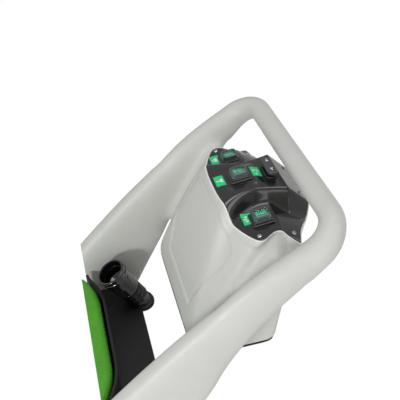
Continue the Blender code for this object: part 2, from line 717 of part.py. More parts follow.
def make_lit_switch(name, x, y):
    """Stepped housing with blade terminals, a lit rocker and a clear cap."""
    frame = seat_frame(x, y)
    wide, deep, thick = FLANGE
    step_top = thick + STEP_HEIGHT
    base = rounded_plate(wide, deep, 3 * MM, 3)
    raised = rounded_plate(wide - 2 * STEP_IN, deep - 2 * STEP_IN, 3 * MM, 3)
    housing = stack(f"{name}_switch_housing",
                    [(base, GAP), (base, GAP + thick), (raised, GAP + thick), (raised, GAP + step_top)],
                    frame, PARTS, "black_nylon")
    barrel = local_box(f"{name}_barrel", BARREL, (0, 0, GAP - BARREL[2] / 2 + 1 * MM), frame, CUTTERS)
    cut(housing, barrel, "UNION")
    for k in (-1, 0, 1):
        blade = local_box(f"{name}_blade_{k}", TERMINAL, (0, k * 8 * MM, -BARREL[2] - TERMINAL[2] / 2 + 3 * MM),
                          frame, CUTTERS)
        cut(housing, blade, "UNION")
    slot = (ROCKER[0] + 2 * ROCKER_GAP, ROCKER[1] + 2 * ROCKER_GAP, 2 * 10 * MM)
    cut(housing, local_box(f"{name}_slot", slot, (0, 0, GAP + step_top), frame, CUTTERS))
    pivot_z = GAP + step_top - 2 * MM
    pivot = Matrix.Translation((0, 0, pivot_z))
    half = ROCKER[1] / 2
    face = ROCKER_RISE + 2 * MM
    side_view = [(-half, face - 1.8 * MM), (-half * 0.5, face - 0.9 * MM), (0, face - 1.6 * MM),
                 (half * 0.5, face - 0.9 * MM), (half, face - 1.8 * MM), (half, 0), (half * 0.45, -5 * MM),
                 (-half * 0.45, -5 * MM), (-half, 0)]
    vertices = [(sx * ROCKER[0] / 2, py, pz) for sx in (-1, 1) for py, pz in side_view]
    count = len(side_view)
    faces = [tuple(range(count)), tuple(range(count, 2 * count))]
    faces += [(i, (i + 1) % count, count + (i + 1) % count, count + i) for i in range(count)]
    rocker = mesh_object(f"{name}_rocker", vertices, faces, PARTS, "rocker_green")
    rocker.matrix_basis = frame @ pivot @ Matrix.Rotation(ROCKER_TILT, 4, "X")
    bevel(rocker, 0.5 * MM, 1, 50)
    shell = [(wide - 2 * STEP_IN - 2 * CAP_IN, deep - 2 * STEP_IN - 2 * CAP_IN, 3.5 * MM, 0.0),
             (wide - 2 * STEP_IN - 2 * CAP_IN, deep - 2 * STEP_IN - 2 * CAP_IN, 3.5 * MM, 0.55),
             (wide - 2 * STEP_IN - 2 * CAP_IN - 2 * MM, deep - 2 * STEP_IN - 2 * CAP_IN - 2 * MM, 4 * MM, 0.85),
             (wide - 2 * STEP_IN - 2 * CAP_IN - 5 * MM, deep - 2 * STEP_IN - 2 * CAP_IN - 5 * MM, 4.5 * MM, 1.0)]
    foot = 2 * GAP + step_top
    layers = [(rounded_plate(sx, sy, r, 3), foot + CAP_HEIGHT * t) for sx, sy, r, t in shell]
    cap = stack(f"{name}_clear_cap", layers, frame, PARTS, "clear_cap")
    inner = [(rounded_plate(sx - 2 * CAP_WALL, sy - 2 * CAP_WALL, r - CAP_WALL, 3),
              foot + CAP_HEIGHT * t - CAP_WALL) for sx, sy, r, t in shell]
    cut(cap, stack(f"{name}_cap_hollow", inner, frame, CUTTERS))


def make_rear_switch():
    """Direction switch: low housing and a long paddle rocking about the ridge's length."""
    frame = rear_frame()
    wide, deep, thick = REAR_FLANGE
    base = rounded_plate(wide, deep, deep / 2 - 1 * MM, 5)
    top = rounded_plate(wide - 3 * MM, deep - 3 * MM, deep / 2 - 3 * MM, 5)
    housing = stack("rear_switch_housing", [(base, GAP), (base, GAP + thick * 0.6), (top, GAP + thick)],
                    frame, PARTS, "black_nylon")
    barrel = local_box("rear_barrel", REAR_BARREL, (0, 0, GAP - REAR_BARREL[2] / 2 + 1 * MM), frame, CUTTERS)
    cut(housing, barrel, "UNION")
    for k in (-1, 0, 1):
        size = (TERMINAL[1], TERMINAL[0], TERMINAL[2])
        blade = local_box(f"rear_blade_{k}", size, (k * 9 * MM, 0, -REAR_BARREL[2] - TERMINAL[2] / 2 + 3 * MM),
                          frame, CUTTERS)
        cut(housing, blade, "UNION")
    neck = (16 * MM, 9 * MM, 10 * MM)
    slot = (neck[0] + 5 * MM, neck[1] + 2 * ROCKER_GAP, 14 * MM)
    cut(housing, local_box("rear_slot", slot, (0, 0, GAP + thick), frame, CUTTERS))
    long, broad, high = PADDLE
    radius = broad / 2 - 0.5 * MM
    pivot = frame @ Matrix.Translation((0, 0, GAP + thick))
    layers = [(rounded_plate(long - 3 * MM, broad - 3 * MM, radius - 1.5 * MM, 5), PADDLE_RISE),
              (rounded_plate(long, broad, radius, 5), PADDLE_RISE + 1.5 * MM),
              (rounded_plate(long, broad, radius, 5), PADDLE_RISE + high - 1.5 * MM),
              (rounded_plate(long - 3 * MM, broad - 3 * MM, radius - 1.5 * MM, 5), PADDLE_RISE + high)]
    paddle = stack("direction_paddle", layers, pivot, PARTS, "black_nylon")
    cut(paddle, local_box("paddle_neck", neck, (0, 0, PADDLE_RISE - neck[2] / 2 + 1 * MM), pivot, CUTTERS),
        "UNION")


# ---- console service cover, loom and relay board -----------------------------------------------------
def make_cover():
    """Flat cover that closes the console from below, with its four screws."""
    half = console_bottom(COVER_INSET)
    full = np.vstack([half, half[-2:0:-1] * [-1, 1]])
    frame = Matrix.Translation((0, 0, CONSOLE_BOTTOM - GAP - COVER_THICKNESS))
    cover = stack("service_cover", [(full, 0.0), (full, COVER_THICKNESS)], frame, PARTS, "black_nylon")
    for side, x, y in both_sides(COVER_SCREWS):
        at = (x, y, CONSOLE_BOTTOM - GAP)
        cut(cover, cylinder(f"cover_hole_{side}", SCREW_RADIUS + GAP, -9 * MM, 9 * MM, CUTTERS, None, 10,
                            None, at))
        turn = Matrix.Rotation(math.pi, 4, "X")
        seat = Matrix.Translation((x, y, CONSOLE_BOTTOM - GAP - COVER_THICKNESS)) @ turn
        head = [(HEAD_RADIUS * math.cos(a), GAP + HEAD_HEIGHT * math.sin(a))
                for a in (math.radians(75), math.radians(50), math.radians(25), 0)]
        shank = [(SCREW_RADIUS, GAP), (SCREW_RADIUS, -SCREW_LENGTH + 1 * MM), (0, -SCREW_LENGTH)]
        turned(f"cover_screw_{side}", [(0, GAP + HEAD_HEIGHT)] + head + shank, PARTS, "zinc_steel", 12, seat)


def make_electrics():
    """Relay board on four posts over the cover, and a sleeved wire bundle up to each switch."""
    floor = CONSOLE_BOTTOM
    wide, deep, thick = BOARD
    under = floor + POST_HEIGHT + GAP
    middle = BOARD_MIDDLE_Y
    for side, k in (("l", -1), ("r", 1)):
        for row, y in (("1", middle - deep / 2 + 6 * MM), ("2", middle + deep / 2 - 6 * MM)):
            cylinder(f"board_post_{side}{row}", POST_RADIUS, floor, floor + POST_HEIGHT, PARTS,
                     "black_nylon", 14, None, (k * (wide / 2 - 6 * MM), y, 0))
    board = box("relay_board", (-wide / 2, middle - deep / 2, under),
                (wide / 2, middle + deep / 2, under + thick), PARTS, "circuit_green")
    top = under + thick
    for k in (-1.5, -0.5, 0.5, 1.5):
        x = k * RELAY_PITCH
        relay = box(f"relay_{k}", (x - RELAY[0] / 2, middle - RELAY_BACK, top - 0.5 * MM),
                    (x + RELAY[0] / 2, middle - RELAY_BACK + RELAY[1], top + RELAY[2]), CUTTERS, None, 0.8 * MM)
        cut(board, relay, "UNION")
    y = middle + CONNECTOR_AHEAD
    long, broad, high = CONNECTOR
    box("wire_connector", (-long / 2, y - broad / 2, top + GAP), (long / 2, y + broad / 2, top + GAP + high),
        PARTS, "black_nylon", 0.6 * MM)
    start = top + 2 * GAP + high
    depth = BARREL[2] + TERMINAL[2] - 3 * MM + GAP
    for name, x, at_y in lit_switch_places():
        plug = seat_frame(x, at_y) @ Vector((0, 0, -depth - 2 * GAP))
        foot = Vector((x * 0.36 + (FRONT_WIRE_X if name == "front" else 0), y, start))
        make_wire(f"wires_{name}", foot, plug)
    plug = rear_frame() @ Vector((0, 0, -REAR_BARREL[2] - TERMINAL[2] + 3 * MM - 3 * GAP))
    make_wire("wires_rear", Vector((REAR_WIRE_X, y, start)), plug)


def make_wire(name, foot, plug):
    """Sleeved bundle from the board's connector up to a switch, on one smooth curve."""
    curve = bpy.data.curves.new(name, "CURVE")
    curve.dimensions = "3D"
    curve.bevel_depth = WIRE_RADIUS
    curve.bevel_resolution = 2
    curve.use_fill_caps = True
    curve.resolution_u = 8
    line = curve.splines.new("BEZIER")
    line.bezier_points.add(1)
    swing = Vector((0, 0, 55 * MM))
    for point, end in zip(line.bezier_points, (foot, plug)):
        point.co = end
        point.handle_left = end - swing
        point.handle_right = end + swing
    place(bpy.data.objects.new(name, curve), PARTS, "black_rubber")


# ---- deck, tank cover and hose ------------------------------------------------------------------------
def sweep_line(back, lateral):
    """Plan line across the machine: straight in the middle, corners swept forward."""
    x = np.linspace(0, lateral, 13)
    forward = np.clip((x - TANK_SWEEP_START) / (TANK_HALF_WIDTH - TANK_SWEEP_START), 0, None) ** 2
    return np.column_stack([x, back + TANK_SWEEP * forward])


def make_deck():
    """Black deck between the side plates with a curved upstand behind the tank cover."""
    inner = ARM_SPACING / 2 - ARM_STATIONS[-1][3] - GAP
    low = -BAR_HEIGHT
    deck = box("deck", (-inner, DECK_BACK, low), (inner, FRONT_END, low + DECK_THICKNESS), PARTS, "black_nylon")
    line = sweep_line(TANK_BACK - 8 * MM, TANK_HALF_WIDTH + 12 * MM)
    line[:, 1] = np.minimum(line[:, 1], FRONT_END - 2 * MM)
    rows = [np.column_stack([line, np.full(len(line), z)]) for z in (low + 1 * MM, low + UPSTAND_HEIGHT)]
    wall = mesh_object("deck_upstand", np.vstack(rows), grid_faces(2, len(line), False), CUTTERS)
    mirror_x(wall)
    thicken(wall, UPSTAND_THICKNESS, 0)
    cut(deck, wall, "UNION")
    x, y, z = hose_foot()
    shelf = cylinder("hose_shelf", SPIGOT_FLANGE[0] + 2 * MM, low, low + DECK_THICKNESS, CUTTERS,
                     None, 28, None, (x, y, 0))
    cut(deck, shelf, "UNION")
    return deck


def make_tank_cover():
    """Back end of the green tank cover: a wall that rounds over into the lid."""
    low = -BAR_HEIGHT + DECK_THICKNESS + GAP
    top = -BAR_HEIGHT + TANK_TOP
    line = sweep_line(TANK_BACK, TANK_HALF_WIDTH)
    rows = [np.column_stack([line, np.full(len(line), low)])]
    for a in np.linspace(0, math.pi / 2, 6):
        row = line + [0, TANK_EDGE * (1 - math.cos(a))]
        row[:, 1] = np.minimum(row[:, 1], TANK_FRONT - (2.5 - 2 * a / math.pi) * MM)
        rows.append(np.column_stack([row, np.full(len(row), top - TANK_EDGE * (1 - math.sin(a)))]))
    last = rows[-1].copy()
    last[:, 1] = TANK_FRONT
    rows.append(last)
    cover = mesh_object("tank_cover", np.vstack(rows), grid_faces(len(rows), len(line), False), PARTS,
                        "green_polyethylene")
    mirror_x(cover)
    thicken(cover, 3 * MM, -1)
    return smooth(cover)


def hose_frame():
    """Frame at the hose's mouth, Z pointing back down the hose."""
    lean = Matrix.Rotation(math.pi / 2 + HOSE_LEAN, 4, "X")
    return Matrix.Translation(HOSE_MOUTH) @ lean


def deck_distance():
    """Distance down the hose's axis from its mouth to the deck's top."""
    return (BAR_HEIGHT + HOSE_MOUTH[2] - DECK_THICKNESS - GAP) / math.sin(HOSE_LEAN)


def hose_end():
    """Where the hose stops, its lowest edge just clear of the spigot's flange."""
    edge = (HOSE_VALLEY * math.cos(HOSE_LEAN) + SPIGOT_FLANGE[1] + GAP) / math.sin(HOSE_LEAN)
    return deck_distance() - edge


def hose_foot():
    """Where the hose's axis meets the deck's top."""
    back = deck_distance() * math.cos(HOSE_LEAN)
    return (HOSE_MOUTH[0], HOSE_MOUTH[1] - back, -BAR_HEIGHT + DECK_THICKNESS + GAP)


def make_spigot():
    """Leaning spigot on a round flange; the hose is pushed over it."""
    foot = hose_foot()
    top, low = hose_end() - SPIGOT_INSERTION, deck_distance() + 30 * MM
    flange_radius, flange_height = SPIGOT_FLANGE
    spigot = cylinder("hose_spigot", flange_radius, 0, flange_height, PARTS, "black_nylon", 28, None, foot)
    tube = cylinder("spigot_tube", SPIGOT_RADIUS, top, low, CUTTERS, None, 24)
    tube.matrix_basis = hose_frame()
    cut(spigot, tube, "UNION")
    under = box("below_deck_top", (0, 0.1, -BAR_HEIGHT - 0.1), (0.2, 0.4, foot[2]), CUTTERS)
    cut(spigot, under)
    bore = cylinder("spigot_bore", SPIGOT_RADIUS - SPIGOT_WALL, top - 5 * MM, low, CUTTERS, None, 24)
    bore.matrix_basis = hose_frame()
    cut(spigot, bore)
    return bore


def make_hose():
    """Ribbed hose from the deck's spigot up to its moulded cuff."""
    frame = hose_frame()
    start = CUFF_LENGTH - 18 * MM
    end = hose_end()
    ribs = np.linspace(start + 20 * MM, end - 4 * MM, 2 * HOSE_RIBS)
    outside = [(HOSE_VALLEY, start)]
    outside += [(HOSE_OUTER if k % 2 else HOSE_VALLEY, z) for k, z in enumerate(ribs)]
    outside.append((HOSE_VALLEY, end))
    profile = [(HOSE_BORE, start)] + outside + [(HOSE_BORE, end)]
    profile = profile[::-1]
    turned("ribbed_hose", profile, PARTS, "black_rubber", 24, frame)
    inner = HOSE_VALLEY + GAP
    cuff = [(CUFF_OUTER, 1 * MM), (CUFF_OUTER, 6 * MM), (CUFF_OUTER - 2 * MM, 7.5 * MM),
            (CUFF_OUTER - 2 * MM, 11 * MM), (CUFF_OUTER - 0.5 * MM, 12 * MM), (CUFF_OUTER - 0.5 * MM, 16 * MM),
            (CUFF_BODY + 1 * MM, 18 * MM), (CUFF_BODY, CUFF_LENGTH - 2 * MM), (CUFF_BODY - 2 * MM, CUFF_LENGTH),
            (inner, CUFF_LENGTH), (inner, start - GAP), (HOSE_BORE, start - GAP),
            (HOSE_BORE, start - 6 * MM), (CUFF_BORE, start - 10 * MM), (CUFF_BORE, 1 * MM),
            (CUFF_OUTER - 2 * MM, 0)]
    turned("hose_cuff", cuff[::-1], PARTS, "black_rubber", 28, frame)


make_body()
make_panel()
make_panel_screws()
for place_name, place_x, place_y in lit_switch_places():
    make_lit_switch(place_name, place_x, place_y)
make_rear_switch()
make_cover()
make_electrics()
deck = make_deck()
make_tank_cover()
cut(deck, make_spigot())
make_hose()
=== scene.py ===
"""Looks of the handle head: a grey moulded body, a black switch panel and the base fittings.

Shapes are worked out with numpy, in millimetres, from the middle of the push bar:
x to the operator's right, y away from the operator, z up.  `to_world` puts them in the frame.
"""

import math

import bmesh
import bpy
import numpy as np
from mathutils import Matrix, Vector


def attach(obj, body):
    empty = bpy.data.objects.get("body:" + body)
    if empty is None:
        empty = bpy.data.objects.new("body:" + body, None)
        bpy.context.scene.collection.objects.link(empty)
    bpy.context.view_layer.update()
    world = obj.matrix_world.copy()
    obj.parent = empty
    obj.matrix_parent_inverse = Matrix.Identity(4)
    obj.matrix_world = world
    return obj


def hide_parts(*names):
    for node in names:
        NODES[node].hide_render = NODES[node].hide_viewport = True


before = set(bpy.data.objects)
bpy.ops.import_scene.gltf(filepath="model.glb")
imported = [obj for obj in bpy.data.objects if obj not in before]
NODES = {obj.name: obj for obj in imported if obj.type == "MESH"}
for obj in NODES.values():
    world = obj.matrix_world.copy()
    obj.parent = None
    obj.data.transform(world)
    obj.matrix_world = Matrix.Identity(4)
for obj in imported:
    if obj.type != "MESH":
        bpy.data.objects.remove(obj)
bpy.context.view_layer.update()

BAR_HEIGHT, BAR_SETBACK = 430.0, 312.0      # the bar's middle from the middle of the base face
DATUM = np.array([0.0, -BAR_SETBACK, BAR_HEIGHT])

# Push bar, arms and side plates.
BAR_RADIUS = 19.0
ARM_SPACING = 392.0
CORNER_RADIUS = 50.0
ARM_SLOPE = math.radians(38.5)
CORNER_GROWTH = 0.9                         # how evenly the bar swells into the arm round its corner
FRONT_END = 368.0
# Distance down the arm, reach above and below its line, half width, squareness.
ARM_STATIONS = (
    (50, 22.5, 30.0, 23.0, 2.0), (100, 27.5, 41.0, 23.5, 2.1), (140, 29.5, 48.0, 23.0, 2.2),
    (180, 28.0, 57.0, 22.5, 2.3), (250, 21.0, 79.0, 21.5, 2.7), (320, 14.5, 110.0, 21.5, 3.4),
    (400, 3.5, 147.0, 21.5, 4.2), (480, -9.0, 186.0, 21.5, 4.6), (640, -36.0, 262.0, 21.5, 4.6),
)
ALONG = np.array([0, math.cos(ARM_SLOPE), -math.sin(ARM_SLOPE)])
ABOVE = np.array([0, math.sin(ARM_SLOPE), math.cos(ARM_SLOPE)])
ACROSS = np.array([1.0, 0, 0])

# Switch panel, right half in plan, and the console below it.
PANEL_OUTLINE = (
    (0, 136), (30, 135.2), (57, 131.5), (79, 124), (98, 116.5), (115, 107.5), (125, 100),
    (128.5, 93), (126.5, 86), (120.5, 77.5), (114.5, 67), (113.5, 57), (118, 48.5), (126, 39),
    (131, 30), (121, 24.5), (104, 18), (88, 8), (71, -5), (50, -18), (25, -23), (0, -24),
)
PANEL_HUB = np.array([0.0, 68.0])
PANEL_FRONT_Y = PANEL_OUTLINE[0][1]
PANEL_LIMIT_X, PANEL_LIMIT_Y = 125, (-22, 134)  # beyond these the height formula isn't asked
PANEL_THICKNESS = 3.0
BODY_RIM = 2.5                              # body edge that shows around the panel
FLOOR_LEVEL, FLOOR_SLOPE = -52.0, 0.158     # side lobes, rising towards the operator
FALL_Y, FALL_SLOPE, FALL_BEND = 56.0, 0.58, 3.5  # behind this the lobes fall away, eased over a bend
WING_START, WING_DROP, WING_LENGTH = 85.0, 10.0, 40.0  # droop of the lobes' outer edges
WING_ROOT, WING_WIDTH = 75.0, 45.0
HUMP_LEVEL, NOSE_DROP = -26.5, 7.5          # crown of the ridge, and its fall at the front edge
RIDGE_Y, SKIRT_SLOPE, WAIST_Y = 22.0, 0.95, 72.0
HUMP_WAIST, HUMP_FRONT, HUMP_BACK = 37.0, 52.0, 47.0
HUMP_WALL, HUMP_WALL_FRONT, HUMP_WALL_BACK = 11, 32, 8
WALL_TAIL, WALL_POWER = 5.0, 1.3            # soft run-out of the ridge's wall on to the lobes
SEAT_REACH, SEAT_BLEND = 18, 16             # flat round the front switch
CONSOLE_FRONT, CONSOLE_BACK, CONSOLE_HALF_WIDTH, CONSOLE_BOTTOM = 212.0, 52.0, 150.0, -288.0
CONSOLE_SQUARENESS = 10.0
CONSOLE_BULGE = 0.35                        # fullness of the walls between rim and foot
LID_DEPTH, LID_DIP = 4.4, 7                 # console solid's lid below the panel: at its edge, and inside
# Webs between console and arms in side view, beside the console and beside the arm.
WEB_INNER = (
    (49, -84), (51, -68), (60, -60), (74, -60), (85, -67), (102, -94), (127, -138), (151, -188),
    (176, -246), (160, -250), (134, -200), (104, -152), (78, -114), (58, -98),
)
WEB_OUTER = (
    (66, -98), (68, -86), (75, -79), (84, -79), (94, -87), (107, -105), (129, -143), (152, -190),
    (176, -246), (160, -250), (134, -202), (108, -158), (86, -126), (72, -112),
)
WEB_START, WEB_END = 108.0, 184.0
# Shallow field on the console's front face: half width and height of its corners.
FIELD = ((52, -46), (108, -92), (108, -124), (75, -237))
FIELD_DEPTH, FIELD_EDGE = 2.4, 4.5
FIELD_ZONE = (125, 215)                     # the front face lies between these, away from the operator
VOXEL = 3.3                                 # grid on which the body's shells are fused
# Soft joins of webs, arms and console: where they start, and over what length they ease in.
JOIN_SIDE, JOIN_BACK, JOIN_FRONT = (96, 16), (42, 10), (205, 25)
JOIN_BELOW_RIM, JOIN_WEB = (3, 12), (128, 8)
JOIN_ABOVE_ARM, JOIN_BELOW_ARM = (34, 12), (150, 40)

# Screws: places in plan, then the pan head, its neck and its cross recess.
PANEL_SCREWS = ((119.0, 95.0), (113.0, 34.0), (36.0, -7.0))
COVER_SCREWS = ((134.0, 199.0), (134.0, 65.0))
COVER_THICKNESS = 3.0
HEAD_RADIUS, HEAD_HEIGHT, DOME_RADIUS, NECK_RADIUS, NECK_DEPTH = 3.9, 2.2, 4.35, 1.8, 4.0
CROSS_HALF_WIDTH, CROSS_REACH, CROSS_DEPTH = 0.62, 2.3, 1.1

# Lit switches: flange, the step on it, the rocker in its slot and the cap over it.
FLANGE = (32.0, 38.0, 2.6)
STEP_IN, STEP_HEIGHT = 2.6, 3.4
ROCKER = (13.0, 21.0)
ROCKER_GAP = 0.7
ROCKER_TILT = math.radians(7)
ROCKER_FACE, ROCKER_PIVOT_DEPTH = 6.3, 2.0  # above its pivot, and the pivot below the housing's top
CAP_HEIGHT, CAP_IN, CAP_WALL, CAP_FRAME = 9.5, 1.6, 1.1, 8.4
GAP = 0.3                                   # clearance between pieces that sit on each other
STEP_X, STEP_Y = FLANGE[0] - 2 * STEP_IN, FLANGE[1] - 2 * STEP_IN
SWITCH_TOP = GAP + FLANGE[2] + STEP_HEIGHT
FRONT_SWITCH_Y = 90.0
SIDE_SWITCH = (84.0, 79.0)
SWITCHES = (
    ("front", 0.0, FRONT_SWITCH_Y), ("right", SIDE_SWITCH[0], SIDE_SWITCH[1]),
    ("left", -SIDE_SWITCH[0], SIDE_SWITCH[1]),
)

# Direction switch on the ridge's back end: flange, paddle, and the slot for its stem.
REAR_SWITCH_Y = 38.0
REAR_FLANGE = (44.0, 21.0, 3.2)
PADDLE = (46.0, 16.5, 7.0)
PADDLE_RISE = 5.2
PADDLE_SLOT = (21.0, 10.4)

# Labels: size, and places in plan.
LABEL = (26.0, 16.0)
LABELS = (("right", 94.0, 104.0), ("front", 2.0, 123.5), ("rear", 4.0, 60.0), ("left", -75.0, 100.5))

# Drain hose: its mouth and lean, then distances down its axis and radii.
HOSE_MOUTH = np.array([120.0, 318.0, -317.0])
HOSE_LEAN = math.radians(61)
HOSE_START, HOSE_STOP = 46.0, 104.0
HOSE_BORE_RADIUS = 20.0
RIB_MIDDLE, RIB_RISE, RIB_PITCH, RIB_SQUARENESS = 23.75, 1.25, 4.1, 2.2
KEY_START, KEY_END, KEY_HEIGHT = 24, 40, 0.9

# Tank cover on the deck: distances ahead of the bar, height of its top above the base face.
TANK_BACK, TANK_SWEEP, TANK_SWEEP_START, TANK_HALF_WIDTH = 349.0, 22.0, 72.0, 148.0
TANK_FRONT, TANK_TOP, TANK_EDGE = 378.0, 80.0, 13.0
TANK_WALL = 3.0
DECK_THICKNESS = 5.0

# Lamps: place in the frame and size in metres, power in watts.
LAMPS = (
    ("key", (-0.1, -0.3, 1.9), 1.0, 8.2), ("side", (-1.0, -1.5, 1.3), 0.8, 4.0),
    ("main", (-1.25, 1.2, 0.6), 0.3, 13.0), ("fill", (-2.0, -0.2, 0.5), 1.0, 4.0),
)
LAMP_AIM = Vector((0, -0.2, 0.3))


# ---- meshes --------------------------------------------------------------------------------------
def to_world(points):
    """Bar coordinates in millimetres to frame coordinates in metres."""
    return (np.asarray(points, float) + DATUM) / 1000


def ring_faces(rows, columns, wrap):
    """Quads of a row-major grid, closed along each row if wrapped."""
    last = columns if wrap else columns - 1
    i, j = np.meshgrid(np.arange(rows - 1), np.arange(last), indexing="ij")
    k = (j + 1) % columns
    quads = np.stack([i * columns + j, i * columns + k, (i + 1) * columns + k, (i + 1) * columns + j], -1)
    return quads.reshape(-1, 4).tolist()


def surface(name, grid, wrap=True, ends=(True, True), material=None, body="frame", sharp=35):
    """Mesh of a grid of points (rows, columns, 3); each closed end is a single face."""
    rows, columns = grid.shape[:2]
    faces = ring_faces(rows, columns, wrap)
    if ends[0]:
        faces.append(list(range(columns)))
    if ends[1]:
        faces.append(list(range((rows - 1) * columns, rows * columns)))
    mesh = bpy.data.meshes.new(name)
    mesh.from_pydata(to_world(grid.reshape(-1, 3)).tolist(), [], faces)
    tidy = bmesh.new()
    tidy.from_mesh(mesh)
    bmesh.ops.remove_doubles(tidy, verts=tidy.verts, dist=1e-6)
    bmesh.ops.recalc_face_normals(tidy, faces=tidy.faces)
    tidy.to_mesh(mesh)
    tidy.free()
    return finish_piece(name, mesh, material, body, sharp)


def finish_piece(name, mesh, material, body, sharp=35):
    """Object at the origin with its material, riding on a body."""
    mesh.shade_smooth()
    mesh.set_sharp_from_angle(angle=math.radians(sharp))
    piece = bpy.data.objects.new(name, mesh)
    bpy.context.scene.collection.objects.link(piece)
    if material:
        mesh.materials.append(material)
    if body:
        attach(piece, body)
    return piece


def join(name, pieces):
    """Several meshes as one piece; the first one's body and material stay."""
    first = pieces[0]
    whole = bmesh.new()
    for piece in pieces:
        whole.from_mesh(piece.data)
    whole.to_mesh(first.data)
    whole.free()
    for piece in pieces[1:]:
        bpy.data.objects.remove(piece)
    first.name = name
    first.data.name = name
    return first


def ease(t):
    """Smooth step: 3t^2 - 2t^3 between 0 and 1."""
    t = np.clip(t, 0, 1)
    return t * t * (3 - 2 * t)


def past(distance, edge):
    """Share from 0 at an edge to 1 beyond it; the edge is (start, length)."""
    return ease((distance - edge[0]) / edge[1])


def short_of(distance, edge):
    """Share from 1 before an edge to 0 at it; the edge is (end, length)."""
    return ease((edge[0] - distance) / edge[1])


def spline(points, steps):
    """Catmull-Rom curve: each span is the cubic through its ends with neighbours' slopes."""
    pts = np.array(points, float)
    padded = np.vstack([2 * pts[0] - pts[1], pts, 2 * pts[-1] - pts[-2]])
    a, b, c, d = (padded[k:len(pts) - 1 + k, None] for k in range(4))
    t = np.linspace(0, 1, steps, endpoint=False)[None, :, None]
    curve = 0.5 * (2 * b + (c - a) * t + (2 * a - 5 * b + 4 * c - d) * t ** 2
                   + (3 * b - 3 * c + d - a) * t ** 3)
    return np.vstack([curve.reshape(-1, pts.shape[1]), pts[-1]])


def mirrored(half):
    """Closed outline from its right half, front middle to back middle."""
    return np.vstack([half, half[-2:0:-1] * ([-1] + [1] * (half.shape[1] - 1))])


# ---- materials -----------------------------------------------------------------------------------
def srgb(code):
    """Linear colour with alpha from a six-digit sRGB hex code."""
    levels = [int(code[i:i + 2], 16) / 255 for i in (0, 2, 4)]
    return [c / 12.92 if c <= 0.04045 else ((c + 0.055) / 1.055) ** 2.4 for c in levels] + [1.0]


def add(tree, kind, settings=None, links=None):
    """Adds a node; settings name its properties or sockets, links feed its sockets."""
    node = tree.nodes.new(kind)
    for key, value in (settings or {}).items():
        if isinstance(key, str) and hasattr(node, key):
            setattr(node, key, value)
        else:
            node.inputs[key].default_value = value
    for key, source in (links or {}).items():
        tree.links.new(source, node.inputs[key])
    return node


def finish_with(name, fixed, colours=None, mottle_mm=40.0, rough=None, bumps=()):
    """Principled finish: colour mottled between two tones, roughness between two values, bumps.

    Each bump is (feature size in mm, height in mm, noise detail)."""
    material = bpy.data.materials.new(name)
    material.use_nodes = True
    tree = material.node_tree
    shader = tree.nodes["Principled BSDF"]
    for key, value in fixed.items():
        shader.inputs[key].default_value = value
    where = add(tree, "ShaderNodeTexCoord").outputs["Object"]
    if colours:
        spots = add(tree, "ShaderNodeTexNoise", {"Scale": 1000 / mottle_mm, "Detail": 5.0, "Roughness": 0.6},
                    {"Vector": where})
        tone = add(tree, "ShaderNodeMix", {"data_type": "RGBA", 6: srgb(colours[0]), 7: srgb(colours[1])},
                   {0: spots.outputs["Fac"]})
        tree.links.new(tone.outputs[2], shader.inputs["Base Color"])
    if rough:
        wear = add(tree, "ShaderNodeTexNoise", {"Scale": 1000 / 18.0, "Detail": 4.0}, {"Vector": where})
        spread = add(tree, "ShaderNodeMapRange", {"From Min": 0.3, "From Max": 0.7, "To Min": rough[0],
                                                  "To Max": rough[1]}, {"Value": wear.outputs["Fac"]})
        tree.links.new(spread.outputs["Result"], shader.inputs["Roughness"])
    normal = None
    for size, height, detail in bumps:
        grain = add(tree, "ShaderNodeTexNoise", {"Scale": 1000 / size, "Detail": detail}, {"Vector": where})
        links = {"Height": grain.outputs["Fac"]}
        if normal:
            links["Normal"] = normal
        relief = add(tree, "ShaderNodeBump", {"Strength": 1.0, "Distance": height / 1000}, links)
        normal = relief.outputs["Normal"]
    if normal:
        tree.links.new(normal, shader.inputs["Normal"])
    return material


# Rotomoulded polyethylene: matt satin, faintly uneven from the mould, like an egg shell up close.
GREY_BODY = finish_with("rotomoulded_polyethylene_grey", {"IOR": 1.51, "Specular IOR Level": 0.42},
                        ("CBCCC7", "D4D5D0"), 55.0, (0.40, 0.52), ((1.1, 0.035, 3.0), (14.0, 0.10, 1.0)))
# Its edge around the panel: painted paler than the moulded skin as a painted highlight where the rounded rim
# catches the light, and smoother.
GREY_EDGE_PAINTED_HIGHLIGHT = finish_with("routed_polyethylene_edge", {"IOR": 1.51, "Coat Weight": 0.3, "Coat Roughness": 0.2},
                        ("EBECE8", "F2F3EF"), 20.0, (0.25, 0.35), ((0.7, 0.02, 3.0),))
# Vacuum formed ABS sheet: deep black with a high polish and a very slight orange peel.
BLACK_PANEL = finish_with("formed_abs_sheet_black", {"IOR": 1.54, "Coat Weight": 1.0, "Coat Roughness": 0.09},
                          ("0E0E0F", "171718"), 30.0, (0.24, 0.34), ((5.0, 0.05, 2.0), (0.8, 0.006, 2.0)))
# Glass-filled nylon: dark and finely grained, with a soft polish on its edges.
BLACK_NYLON = finish_with("glass_filled_nylon_black",
                          {"IOR": 1.53, "Coat Weight": 0.9, "Coat Roughness": 0.2},
                          ("1A1919", "252423"), 6.0, (0.26, 0.38), ((0.6, 0.02, 2.0),))
# Moulded nylon in dark grey: dull, finely grained.
PADDLE_NYLON = finish_with("moulded_nylon_dark_grey", {"IOR": 1.53}, ("47474A", "565659"), 8.0,
                           (0.30, 0.40), ((0.6, 0.02, 2.0),))
# Polypropylene moulding: charcoal with a leather-like grain.
DECK_BLACK = finish_with("moulded_polypropylene_black", {"IOR": 1.49}, ("121213", "1B1B1C"), 20.0,
                         (0.42, 0.55), ((0.9, 0.05, 3.0),))
# Plasticised PVC: black, glossy and nearly smooth.
HOSE_BLACK = finish_with("plasticised_pvc_black", {"IOR": 1.53, "Coat Weight": 1.0, "Coat Roughness": 0.05},
                         ("080809", "101011"), 12.0, (0.14, 0.22), ((2.0, 0.03, 2.0),))
